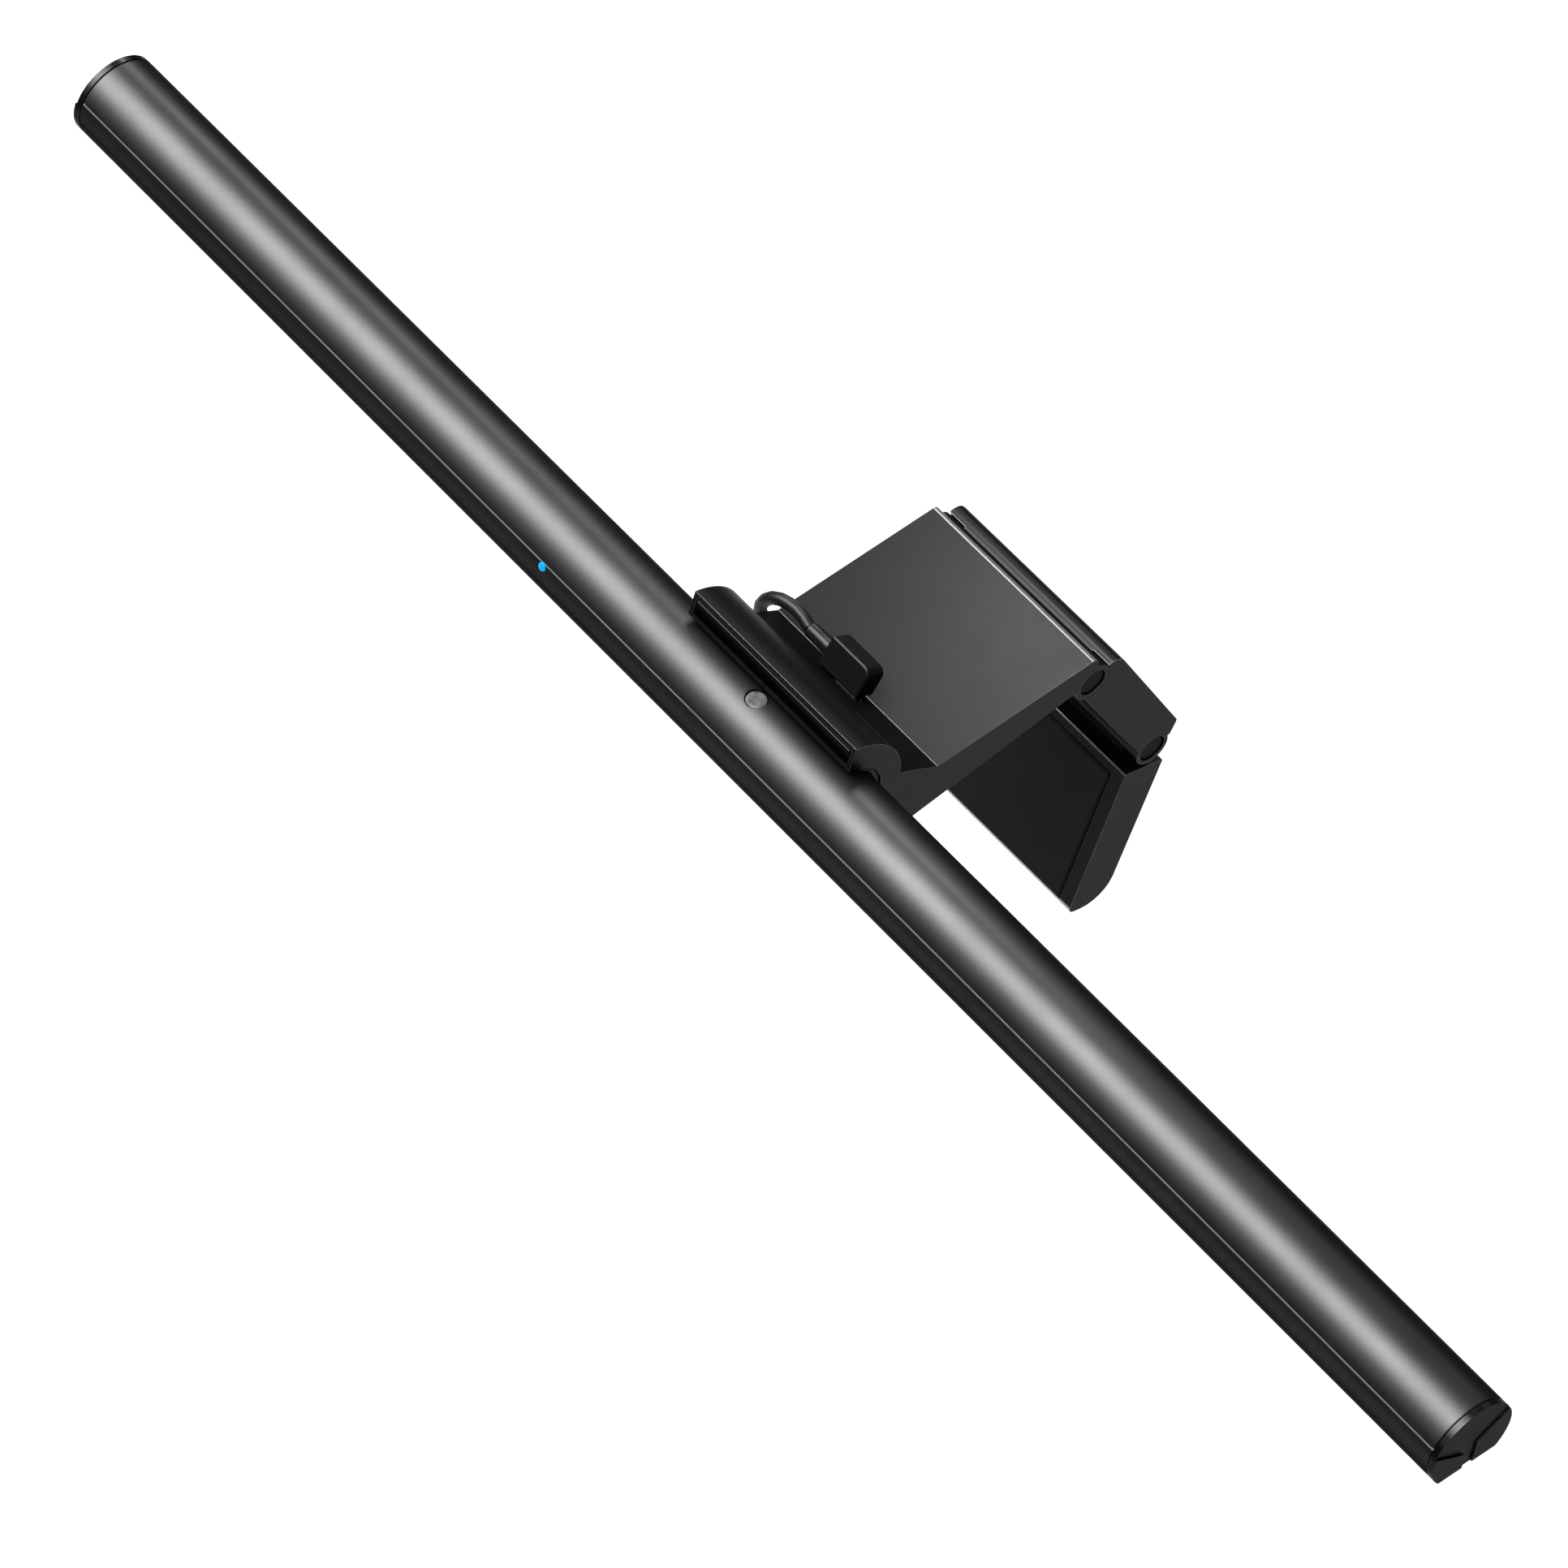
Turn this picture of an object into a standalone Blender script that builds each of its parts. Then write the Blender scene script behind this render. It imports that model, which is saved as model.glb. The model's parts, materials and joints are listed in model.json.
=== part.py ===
"""Monitor light bar on a gravity clamp, in metres, +Z up.

The origin is the middle of the clamp's rest face, which lies on a monitor's top edge. +X runs along the
bar and -Y points at the person in front of the screen. The bar turns in the clamp's saddle, and a link and
a flap hang behind the monitor on two hinges. Everything that moves is modelled upright, with its joint's
axis at its own origin, and is leaned to its rest position by the empty that it is parented to.
"""

import math

import bmesh
import bpy
from mathutils import Matrix, Vector

GAP = 0.0003  # between pieces that touch

# Light bar, about its own axis
BAR_AXIS = (-0.048, 0.0274)  # y, z
BAR_LEAN = math.radians(-11.8)
TUBE_RADIUS = 0.01225
TUBE_LENGTH = 0.5096
TUBE_WALL = 0.0013
FLAT_DEPTH = 0.00823  # from the axis down to the flat underside
CAP_SKIRT = 0.0021
CAP_STEP = 0.0005  # of the two pads on a cap above its upper face
CAP_UPPER_FACE = (  # the sunken face over and between a cap's two pads, about the axis
    (-0.013, 0.0041),
    (-0.0021, -0.0025),
    (-0.0014, -0.0095),
    (0.0015, -0.0095),
    (0.0017, -0.0008),
    (0.013, 0.0062),
    (0.013, 0.014),
    (-0.013, 0.014),
)
SPIGOT_LENGTH = 0.005
SPIGOT_DEPTH = 0.0062  # from the axis down to the spigot's flat
INNER_LENGTH = 0.488  # of the strips inside the tube
TRIM_ANGLE = 156.1  # degrees from +Y towards +Z, where the trim groove runs
INDICATOR_ANGLE = 163.9
INDICATOR_X = -0.0687
SENSOR_ANGLE = 92.5
SENSOR_X = -0.001
CONTACT_ANGLES = (-38.0, 0.0)
LED_COUNT = 36

# Clamp
HALF_WIDTH = 0.0303
REST_HEIGHT = 0.0006  # the shell's rim above the rest face
SADDLE_RADIUS = 0.014
LIP_ANGLE = 69.7
FACET_LEAN = math.radians(-41.28)
SOCKET_SEAT = (0.02864, -0.01092)  # from the bar's axis, on the facet
LINK_PIN = (0.0806, -0.02773)  # from the bar's axis
KNUCKLE_RADIUS = 0.0055
KNUCKLE_WIDTH = 0.0056
PIN_RADIUS = 0.0019
PIN_CAP_RADIUS = 0.0038

# Link and flap
LINK_LEAN = math.radians(19.4)
LINK_LENGTH = 0.0537  # between its two pins
FLAP_LEAN = math.radians(-25.1)
FLAP_LENGTH = 0.0564  # from its pin to its lower end
FLAP_TOP = 0.0064  # from its pin to its flat top

# Cord
CORD_DIAMETER = 0.0035
HANK_RUN = 0.056
HANK_RADIUS = 0.0159
HANK_THICKNESS = 0.0144
HANK_PLACE = (-0.0412, -0.00645, -0.0799)  # its middle from the link's pin, leaned as the link is

COLOURS = {
    "anodised_aluminium": ((0.035, 0.036, 0.038), 0.32, 1.0),
    "satin_shell": ((0.030, 0.031, 0.033), 0.38, 0.0),
    "gloss_trim": ((0.010, 0.010, 0.011), 0.12, 0.0),
    "opal_diffuser": ((0.85, 0.85, 0.83), 0.45, 0.0),
    "circuit_board": ((0.02, 0.10, 0.05), 0.45, 0.0),
    "raw_aluminium": ((0.72, 0.73, 0.74), 0.35, 1.0),
    "smoked_lens": ((0.22, 0.22, 0.23), 0.12, 0.0),
    "blue_lens": ((0.01, 0.40, 0.95), 0.2, 0.0),
    "bright_steel": ((0.60, 0.60, 0.62), 0.25, 1.0),
    "magnet_nickel": ((0.66, 0.65, 0.62), 0.22, 1.0),
    "gold_contact": ((0.90, 0.66, 0.28), 0.25, 1.0),
    "black_rubber": ((0.018, 0.018, 0.018), 0.80, 0.0),
    "cable_jacket": ((0.014, 0.014, 0.015), 0.55, 0.0),
    "hook_and_loop": ((0.012, 0.012, 0.012), 0.95, 0.0),
}


# ---------------------------------------------------------------- outlines


def polar(radius, degrees, center=(0.0, 0.0)):
    angle = math.radians(degrees)
    return (center[0] + radius * math.cos(angle), center[1] + radius * math.sin(angle))


def arc(radius, start, end, steps, center=(0.0, 0.0)):
    """Points from one angle to another, in degrees from the first axis towards the second."""
    return [polar(radius, start + (end - start) * i / steps, center) for i in range(steps + 1)]


def rounded(corners, steps=4):
    """An outline whose corners, each (a, b) or (a, b, radius), are rounded by arcs."""
    points = []
    for index, corner in enumerate(corners):
        here = Vector(corner[:2])
        radius = corner[2] if len(corner) > 2 else 0.0
        if radius == 0.0:
            points.append(tuple(here))
            continue
        before = (Vector(corners[index - 1][:2]) - here).normalized()
        after = (Vector(corners[(index + 1) % len(corners)][:2]) - here).normalized()
        half = before.angle(after) / 2
        center = here + (before + after).normalized() * radius / math.sin(half)
        first = here + before * radius / math.tan(half) - center
        last = here + after * radius / math.tan(half) - center
        turn = first.angle_signed(last)
        for step in range(steps + 1):
            swing = Matrix.Rotation(-turn * step / steps, 2)
            points.append(tuple(center + swing @ first))
    return points


def ring_sector(inner, outer, start, end, steps):
    return arc(outer, start, end, steps) + arc(inner, end, start, steps)


def from_bar(y, z):
    """A place given from the bar's axis, in the clamp's frame."""
    return (BAR_AXIS[0] + y, BAR_AXIS[1] + z)


def flattened_circle(radius, depth, steps):
    """A circle whose lower side is cut flat at this depth."""
    edge = math.degrees(math.asin(depth / radius))
    return arc(radius, -edge, 180 + edge, steps)


# ---------------------------------------------------------------- solids


def clear_scene():
    for obj in list(bpy.data.objects):
        bpy.data.objects.remove(obj, do_unlink=True)


def new_collection(name):
    collection = bpy.data.collections.new(name)
    bpy.context.scene.collection.children.link(collection)
    return collection


def new_object(name, bm):
    mesh = bpy.data.meshes.new(name)
    bm.to_mesh(mesh)
    bm.free()
    obj = bpy.data.objects.new(name, mesh)
    CUTTERS.objects.link(obj)
    return obj


def prism(name, outline, low, high, axes="YZ"):
    """The outline, in the two axes named, extruded from low to high along the third."""
    curve = bpy.data.curves.new(name, "CURVE")
    curve.dimensions = "2D"
    curve.fill_mode = "BOTH"
    curve.extrude = (high - low) / 2
    spline = curve.splines.new("POLY")
    spline.points.add(len(outline) - 1)
    for point, (a, b) in zip(spline.points, outline):
        point.co = (a, b, 0.0, 1.0)
    spline.use_cyclic_u = True
    middle = (low + high) / 2
    if axes == "YZ":
        place = Matrix(((0, 0, 1, middle), (1, 0, 0, 0), (0, 1, 0, 0), (0, 0, 0, 1)))
    else:
        place = Matrix.Translation((0, 0, middle))
    return mesh_from_curve(name, curve, place)


def mesh_from_curve(name, curve, place):
    """The curve as a welded mesh object, because a curve takes no Boolean."""
    guide = bpy.data.objects.new(name + "_guide", curve)
    CUTTERS.objects.link(guide)
    graph = bpy.context.evaluated_depsgraph_get()
    mesh = bpy.data.meshes.new_from_object(guide.evaluated_get(graph))
    bm = bmesh.new()
    bm.from_mesh(mesh)
    bmesh.ops.remove_doubles(bm, verts=bm.verts, dist=1e-7)
    bmesh.ops.transform(bm, matrix=place, verts=bm.verts)
    bmesh.ops.recalc_face_normals(bm, faces=bm.faces)
    bpy.data.objects.remove(guide, do_unlink=True)
    return new_object(name, bm)


def block(name, low, high):
    bm = bmesh.new()
    bmesh.ops.create_cube(bm, size=1.0)
    size = Vector(high) - Vector(low)
    middle = (Vector(high) + Vector(low)) / 2
    bmesh.ops.transform(bm, matrix=Matrix.Translation(middle) @ Matrix.Diagonal((*size, 1)), verts=bm.verts)
    return new_object(name, bm)


def rod(name, radius, start, end, sides=32, end_radius=None):
    """A cylinder, or a cone, between two points."""
    start = Vector(start)
    axis = Vector(end) - start
    bm = bmesh.new()
    tip = radius if end_radius is None else end_radius
    bmesh.ops.create_cone(
        bm, cap_ends=True, segments=sides, radius1=radius, radius2=tip, depth=axis.length
    )
    turn = axis.to_track_quat("Z", "Y").to_matrix().to_4x4()
    bmesh.ops.transform(bm, matrix=Matrix.Translation(start + axis / 2) @ turn, verts=bm.verts)
    return new_object(name, bm)


def tube(name, points, radius):
    """A round cord along these points, with filled ends."""
    curve = bpy.data.curves.new(name, "CURVE")
    curve.dimensions = "3D"
    curve.bevel_depth = radius
    curve.bevel_resolution = 2
    curve.use_fill_caps = True
    spline = curve.splines.new("POLY")
    spline.points.add(len(points) - 1)
    for point, co in zip(spline.points, points):
        point.co = (*co, 1.0)
    return mesh_from_curve(name, curve, Matrix.Identity(4))


def smooth_route(route, spacing):
    """Points a spacing apart on a smooth curve through the route's points."""
    route = [Vector(point) for point in route]
    ends = [2 * route[0] - route[1], *route, 2 * route[-1] - route[-2]]
    dense = []
    for a, b, c, d in zip(ends, ends[1:], ends[2:], ends[3:]):
        for step in range(20):
            t = step / 20
            spread = (2 * a - 5 * b + 4 * c - d) * t * t + (3 * b - a - 3 * c + d) * t**3
            dense.append((2 * b + (c - a) * t + spread) / 2)
    dense.append(route[-1])
    length = sum((b - a).length for a, b in zip(dense, dense[1:]))
    step_length = length / round(length / spacing)
    points = [dense[0]]
    walked = 0.0
    for a, b in zip(dense, dense[1:]):
        walked += (b - a).length
        if walked >= step_length * len(points) - 1e-9:
            points.append(b)
    points[-1] = route[-1]
    return points


def modify(obj, kind, **values):
    modifier = obj.modifiers.new(kind.title(), kind)
    for key, value in values.items():
        setattr(modifier, key, value)


def soften(obj, width, segments=1, sharp=40):
    """Rounds the edges that turn by more than this many degrees."""
    modify(
        obj, "BEVEL", width=width, segments=segments, limit_method="ANGLE", angle_limit=math.radians(sharp)
    )
    return obj


def combine(obj, others, operation):
    for other in others:
        other.hide_render = True
        other.display_type = "WIRE"
        modify(obj, "BOOLEAN", operation=operation, object=other, solver="EXACT")
    HELPERS.setdefault(obj.name, []).extend(others)
    return obj


def cut(obj, *cutters):
    return combine(obj, cutters, "DIFFERENCE")


def join(obj, *others):
    return combine(obj, others, "UNION")


def material(name):
    found = bpy.data.materials.get(name)
    if found:
        return found
    colour, roughness, metallic = COLOURS[name]
    made = bpy.data.materials.new(name)
    made.use_nodes = True
    shader = made.node_tree.nodes["Principled BSDF"]
    shader.inputs["Base Color"].default_value = (*colour, 1.0)
    shader.inputs["Roughness"].default_value = roughness
    shader.inputs["Metallic"].default_value = metallic
    return made


def add_part(obj, body, finish):
    """Puts the piece, with the helpers that shape it, on the body that carries it."""
    CUTTERS.objects.unlink(obj)
    PARTS.objects.link(obj)
    obj.data.materials.clear()
    obj.data.materials.append(material(finish))
    for piece in (obj, *HELPERS.get(obj.name, [])):
        piece.parent = body
        for inner in HELPERS.get(piece.name, []):
            inner.parent = body
    obj.data.shade_smooth()
    obj.data.set_sharp_from_angle(angle=math.radians(32))
    return obj


def add_body(name, parent, place, lean):
    """The empty on a joint's axis, leaned to the joint's rest position."""
    body = bpy.data.objects.new(name, None)
    PARTS.objects.link(body)
    body.parent = parent
    body.location = place
    body.rotation_euler.x = lean
    return body


# ---------------------------------------------------------------- light bar


def bar_housing(body):
    """The extruded tube, open along its flat underside, with a fine trim groove along the front."""
    half = TUBE_LENGTH / 2
    edge = math.degrees(math.asin(FLAT_DEPTH / TUBE_RADIUS))
    groove = 2.0  # degrees each side of the groove's middle
    outside = arc(TUBE_RADIUS, -edge, TRIM_ANGLE - groove, 34)
    outside += arc(TUBE_RADIUS - 0.0005, TRIM_ANGLE - groove / 2, TRIM_ANGLE + groove / 2, 1)
    outside += arc(TUBE_RADIUS, TRIM_ANGLE + groove, 180 + edge, 12)
    lip = 0.0078
    lip_top = -FLAT_DEPTH + TUBE_WALL
    inner = TUBE_RADIUS - TUBE_WALL
    inner_edge = math.degrees(math.asin(-lip_top / inner))
    mouth = [(-lip, -FLAT_DEPTH), (-lip, lip_top)]
    inside = arc(inner, 180 + inner_edge, -inner_edge, 32)
    outline = outside + mouth + inside + [(lip, lip_top), (lip, -FLAT_DEPTH)]
    housing = prism("bar_housing", outline, -half, half)
    start, end = CONTACT_ANGLES
    window = ring_sector(0.010, 0.014, start - 1.5, end + 1.5, 4)
    cut(
        housing,
        prism("contact_window", window, -0.0073, 0.0073),
        radial_rod("indicator_hole", 0.00155, INDICATOR_X, INDICATOR_ANGLE, 0.009, 0.014),
        radial_rod("sensor_hole", 0.003, SENSOR_X, SENSOR_ANGLE, 0.009, 0.014),
    )
    add_part(housing, body, "anodised_aluminium")


def radial_rod(name, radius, x, degrees, inner, outer, sides=24):
    start = (x, *polar(inner, degrees))
    end = (x, *polar(outer, degrees))
    return rod(name, radius, start, end, sides)


def bar_diffuser(body):
    """The opal strip in the flat, held by its flanges above the tube's two lips."""
    half = INNER_LENGTH / 2 + 0.003
    lip = 0.0078 - GAP
    flange = 0.0083
    low = -FLAT_DEPTH
    shelf = low + TUBE_WALL + GAP
    top = shelf + 0.001
    outline = [(-lip, low), (lip, low), (lip, shelf), (flange, shelf)]
    outline += [(flange, top), (-flange, top), (-flange, shelf), (-lip, shelf)]
    add_part(prism("bar_diffuser", outline, -half, half), body, "opal_diffuser")


def light_engine(body):
    """The aluminium carrier, and under it the board with its row of LEDs."""
    half = INNER_LENGTH / 2
    foot = -0.0052
    outline = [(-0.0085, foot), (-0.0052, 0.002), (0.0052, 0.002), (0.0085, foot)]
    outline += [(0.0074, foot), (0.0045, 0.001), (-0.0045, 0.001), (-0.0074, foot)]
    add_part(prism("led_carrier", outline, -half, half), body, "raw_aluminium")
    board = block("led_board", (-half, -0.004, -0.0005), (half, 0.004, 0.0007))
    pitch = (INNER_LENGTH - 0.012) / LED_COUNT
    for index in range(LED_COUNT):
        x = (index + 0.5 - LED_COUNT / 2) * pitch
        chip = block(f"led_chip_{index}", (x - 0.0014, -0.0015, -0.0013), (x + 0.0014, 0.0015, 0.0))
        join(board, chip)
    add_part(board, body, "circuit_board")


def driver_board(body):
    """The board above the carrier, under the indicator and the sensor."""
    low = 0.0026
    top = low + 0.0012
    board = block("driver_board", (-0.085, -0.006, low), (0.025, 0.006, top))
    join(
        board,
        block("indicator_diode", (-0.0705, -0.0058, top - 0.0003), (-0.0669, -0.0028, top + 0.0012)),
        block("power_coil", (-0.048, -0.0035, top - 0.0003), (-0.041, 0.0035, top + 0.0030)),
        block("controller_chip", (-0.030, -0.0030, top - 0.0003), (-0.024, 0.0030, top + 0.0010)),
        block("sensor_module", (-0.0045, -0.0028, top - 0.0003), (0.0025, 0.0028, top + 0.0040)),
        block("lead_socket", (0.014, -0.0030, top - 0.0003), (0.021, 0.0030, top + 0.0030)),
    )
    add_part(board, body, "circuit_board")


def bar_windows(body):
    """The smoked sensor window on top, and the indicator's blue light pipe below the trim groove."""
    window = radial_rod("sensor_window", 0.0027, SENSOR_X, SENSOR_ANGLE, 0.0094, 0.0121)
    add_part(soften(window, 0.0002), body, "smoked_lens")
    lens = radial_rod("indicator_lens", 0.00125, INDICATOR_X, INDICATOR_ANGLE, 0.0082, 0.01232)
    add_part(soften(lens, 0.0001), body, "blue_lens")


def bar_back_plates(body):
    """The steel keeper that the saddle's magnets hold, and the contact plate that brings the power in."""
    keeper = prism("bar_keeper_plate", ring_sector(0.0095, 0.0105, 6, 52, 10), -0.027, 0.027)
    add_part(keeper, body, "bright_steel")
    start, end = CONTACT_ANGLES
    plate = prism("bar_contact_plate", ring_sector(0.0112, 0.01215, start, end, 8), -0.007, 0.007)
    add_part(plate, body, "gold_contact")


def end_cap(body, side):
    """A glossy cap: a skirt flush with the tube, a spigot inside it, and two raised pads on its face."""
    name = "end_cap_right" if side > 0 else "end_cap_left"
    start = TUBE_LENGTH / 2 + GAP
    end = start + CAP_SKIRT
    low, high = sorted((side * start, side * end))
    skirt = flattened_circle(TUBE_RADIUS, FLAT_DEPTH, 44)
    cap = soften(prism(name, skirt, low, high), 0.0005, 2)
    inner = TUBE_RADIUS - TUBE_WALL - GAP
    spigot_low, spigot_high = sorted((side * (start - SPIGOT_LENGTH), side * (start + 0.001)))
    spigot = prism(name + "_spigot", flattened_circle(inner, SPIGOT_DEPTH, 24), spigot_low, spigot_high)
    join(cap, spigot)
    step_low, step_high = sorted((side * (end - CAP_STEP), side * (end + 0.001)))
    cut(cap, prism(name + "_step", CAP_UPPER_FACE, step_low, step_high))
    add_part(cap, body, "gloss_trim")


def light_bar(clamp):
    body = add_body("light_bar", clamp, (0, *BAR_AXIS), BAR_LEAN)
    bar_housing(body)
    bar_diffuser(body)
    light_engine(body)
    driver_board(body)
    bar_windows(body)
    bar_back_plates(body)
    end_cap(body, -1)
    end_cap(body, 1)


# ---------------------------------------------------------------- clamp


def arm_outline():
    """The saddle, the sloping socket facet, the tapering arm, its rear knuckle and the front hook."""
    back = from_bar(-0.001, 0.0006)
    outline = arc(0.0214, 65.8, -11.0, 18, back)
    rest = REST_HEIGHT - BAR_AXIS[1]
    corners = [
        (0.03127, -0.01323, 0.0006),
        (0.0826, -0.0188, 0.0018),
        (0.0826, -0.0226, 0),
    ]
    top = rounded([(0.0200, -0.0034), *corners, (0.0826, -0.03)])[1:-1]
    outline += [from_bar(*point) for point in top]
    outline += arc(KNUCKLE_RADIUS, 62, -189.6, 28, from_bar(*LINK_PIN))
    hook = rounded(
        [
            (0.03, rest),
            (0.0210, rest, 0.0006),
            (0.0210, -0.035, 0.0015),
            (0.0170, -0.035, 0.0015),
            (0.0170, -0.0225, 0.002),
            (0.0125, -0.0165, 0.002),
            (0.0090, -0.01072),
        ]
    )[1:-1]
    outline += [from_bar(*point) for point in hook]
    outline += arc(SADDLE_RADIUS, -50, LIP_ANGLE, 22, BAR_AXIS)
    return outline


def arm_shell():
    shell = soften(prism("arm_shell", arm_outline(), -HALF_WIDTH, HALF_WIDTH), 0.0005, 2, 50)
    pin = (0, *from_bar(*LINK_PIN))
    inside = HALF_WIDTH - KNUCKLE_WIDTH
    cavity = [(0.0235, -0.032), (0.0235, -0.0235), (0.0180, -0.0185), (0.0172, -0.0130)]
    cavity += [(0.0203, -0.0069), (0.0298, -0.0149), (0.0312, -0.0156), (0.0720, -0.0200), (0.0720, -0.032)]
    hollow = prism("arm_hollow", [from_bar(*point) for point in cavity], -0.0278, 0.0278)
    cut(
        hollow,
        *[rod(f"screw_post_{i}", 0.003, (x, *SCREW_Y), (x, SCREW_Y[0], 0.0032)) for i, x in SCREWS],
    )
    cut(
        shell,
        hollow,
        rod("knuckle_slot", KNUCKLE_RADIUS + 0.0005, along_x(pin, -inside), along_x(pin, inside), 40),
        rod("top_pin_bore", PIN_RADIUS + GAP, along_x(pin, -0.04), along_x(pin, 0.04)),
        *[cap_recess(f"top_pin_recess_{side}", pin, side) for side in (-1, 1)],
        *[
            rod(f"screw_bore_{i}", 0.0011, (x, SCREW_Y[0], 0.002), (x, SCREW_Y[0], 0.0085), 16)
            for i, x in SCREWS
        ],
        *[magnet_block(f"magnet_pocket_{side}", side, GAP) for side in (-1, 1)],
        turned_block("contact_slot", (-0.0063, 0.0125, -0.0023), (0.0063, 0.0235, 0.0023), CONTACT_LEAN),
        lip_block("lip_recess", 0.029, 0.0025, -0.0009, 0.002),
        seat_block("socket_opening", (-0.0052, -0.0022, -0.006), (0.0052, 0.0022, 0.004)),
    )
    add_part(shell, CLAMP, "satin_shell")


def along_x(point, x):
    return (x, point[1], point[2])


def cap_recess(name, pin, side):
    """The counterbore that a pin's end cap sits in."""
    start = side * (HALF_WIDTH - 0.0014)
    return rod(name, PIN_CAP_RADIUS + GAP, along_x(pin, start), along_x(pin, side * 0.04))


def turned_block(name, low, high, lean, place=BAR_AXIS):
    """A block made upright about an axis along X and then leaned."""
    obj = block(name, low, high)
    obj.data.transform(Matrix.Translation((0, *place)) @ Matrix.Rotation(lean, 4, "X"))
    return obj


def magnet_block(name, side, margin):
    """A magnet's room in the saddle, behind the liner."""
    low, high = sorted((side * (0.009 - margin), side * (0.027 + margin)))
    inner = SADDLE_RADIUS - 0.0005 + GAP - 2 * margin
    return turned_block(
        name, (low, inner, -0.0042 - margin), (high, 0.0168 + margin, 0.0042 + margin), math.radians(10)
    )


def lip_block(name, half_length, half_width, low, high):
    """A strip in the saddle's front face, which stands along a radius."""
    obj = block(name, (-half_length, 0.0176 - half_width, low), (half_length, 0.0176 + half_width, high))
    obj.data.transform(Matrix.Translation((0, *BAR_AXIS)) @ Matrix.Rotation(LIP_LEAN, 4, "X"))
    return obj


def seat_matrix():
    """The frame of the socket's seat: its Z axis stands on the facet, and its Y axis runs down it."""
    return Matrix.Translation((0, *from_bar(*SOCKET_SEAT))) @ Matrix.Rotation(FACET_LEAN, 4, "X")


def seat_block(name, low, high):
    obj = block(name, low, high)
    obj.data.transform(seat_matrix())
    return obj


def stadium(half_length, half_width, steps=6):
    radius = half_width
    reach = half_length - radius
    return arc(radius, -90, 90, steps, (reach, 0)) + arc(radius, 90, 270, steps, (-reach, 0))


def seat_prism(name, outline, low, high):
    obj = prism(name, outline, low, high, "XY")
    obj.data.transform(seat_matrix())
    return obj


def saddle_parts():
    """The rubber liner, the magnets and contacts behind it, and the strip in the front face."""
    inner = SADDLE_RADIUS - GAP
    outline = [
        (BAR_AXIS[0] + y, BAR_AXIS[1] + z) for y, z in ring_sector(TUBE_RADIUS + GAP, inner, -46, 50, 20)
    ]
    liner = prism("saddle_liner", outline, -0.0298, 0.0298)
    window_corners = ((-0.0063, 0.011, -0.0026), (0.0063, 0.016, 0.0026))
    cut(liner, turned_block("liner_window", *window_corners, CONTACT_LEAN))
    add_part(liner, CLAMP, "black_rubber")
    for side, word in ((-1, "left"), (1, "right")):
        add_part(magnet_block(f"saddle_magnet_{word}", side, 0.0), CLAMP, "magnet_nickel")
    contacts = turned_block("contact_block", (-0.006, 0.0133, -0.002), (0.006, 0.0205, 0.002), CONTACT_LEAN)
    for index in range(4):
        x = (index - 1.5) * 0.0027
        nose = block(f"contact_nose_{index}", (x - 0.0006, 0.01252, -0.0006), (x + 0.0006, 0.0135, 0.0006))
        nose.data.transform(Matrix.Translation((0, *BAR_AXIS)) @ Matrix.Rotation(CONTACT_LEAN, 4, "X"))
        join(contacts, nose)
    add_part(contacts, CLAMP, "gold_contact")
    strip = lip_block("saddle_front_strip", 0.0287, 0.0022, -0.0006, 0.0003)
    add_part(soften(strip, 0.0002), CLAMP, "gloss_trim")


def arm_insides():
    """The socket and its board behind the facet, and the cover, pads and screws underneath."""
    socket = seat_prism("usb_socket", stadium(0.0047, 0.00175), -0.0078, -0.0005)
    cut(socket, seat_prism("socket_mouth", stadium(0.0044, 0.00145), -0.0070, 0.002))
    join(socket, seat_block("socket_tongue", (-0.0033, -0.00035, -0.0075), (0.0033, 0.00035, -0.0024)))
    add_part(socket, CLAMP, "bright_steel")
    board = seat_block("socket_board", (-0.012, -0.0035, -0.0091), (0.012, 0.0035, -0.0081))
    add_part(board, CLAMP, "circuit_board")

    front, back = (from_bar(y, 0)[0] for y in (0.0238, 0.0717))
    cover = block("arm_under_cover", (-0.0275, front, 0.0012), (0.0275, back, 0.0028))
    for index, x in SCREWS:
        cut(cover, rod(f"cover_hole_{index}", 0.0027, (x, SCREW_Y[0], 0.0005), (x, SCREW_Y[0], 0.004)))
    add_part(cover, CLAMP, "satin_shell")
    pad = block("monitor_rest_pad", (-0.0265, front + 0.0007, 0.0), (0.0265, back - 0.0007, 0.0009))
    add_part(pad, CLAMP, "black_rubber")
    hook = from_bar(0.0210, 0)[0] + GAP
    hook_pad = block("hook_pad", (-0.026, hook, -0.0066), (0.026, hook + 0.0008, -0.0010))
    add_part(hook_pad, CLAMP, "black_rubber")
    for index, x in SCREWS:
        screw = rod(f"cover_screw_{index}", 0.0008, (x, SCREW_Y[0], 0.002), (x, SCREW_Y[0], 0.0076), 16)
        head = rod(f"screw_head_{index}", 0.0023, (x, SCREW_Y[0], 0.0013), (x, SCREW_Y[0], 0.0027), 20)
        join(screw, head)
        add_part(screw, CLAMP, "bright_steel")


def hinge_pin(prefix, body, place, cap_radius):
    """A pin along X through this place, with a cap in each end."""
    pin = (0, *place)
    end = HALF_WIDTH - 0.0017
    rod_part = rod(f"{prefix}_hinge_pin", PIN_RADIUS, along_x(pin, -end), along_x(pin, end), 24)
    add_part(rod_part, body, "bright_steel")
    for side, word in ((-1, "left"), (1, "right")):
        start = along_x(pin, side * (HALF_WIDTH - 0.0013))
        stop = along_x(pin, side * (HALF_WIDTH - 0.0004))
        cap = rod(f"{prefix}_pin_cap_{word}", cap_radius, start, stop, 28)
        add_part(cap, body, "gloss_trim")


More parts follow.
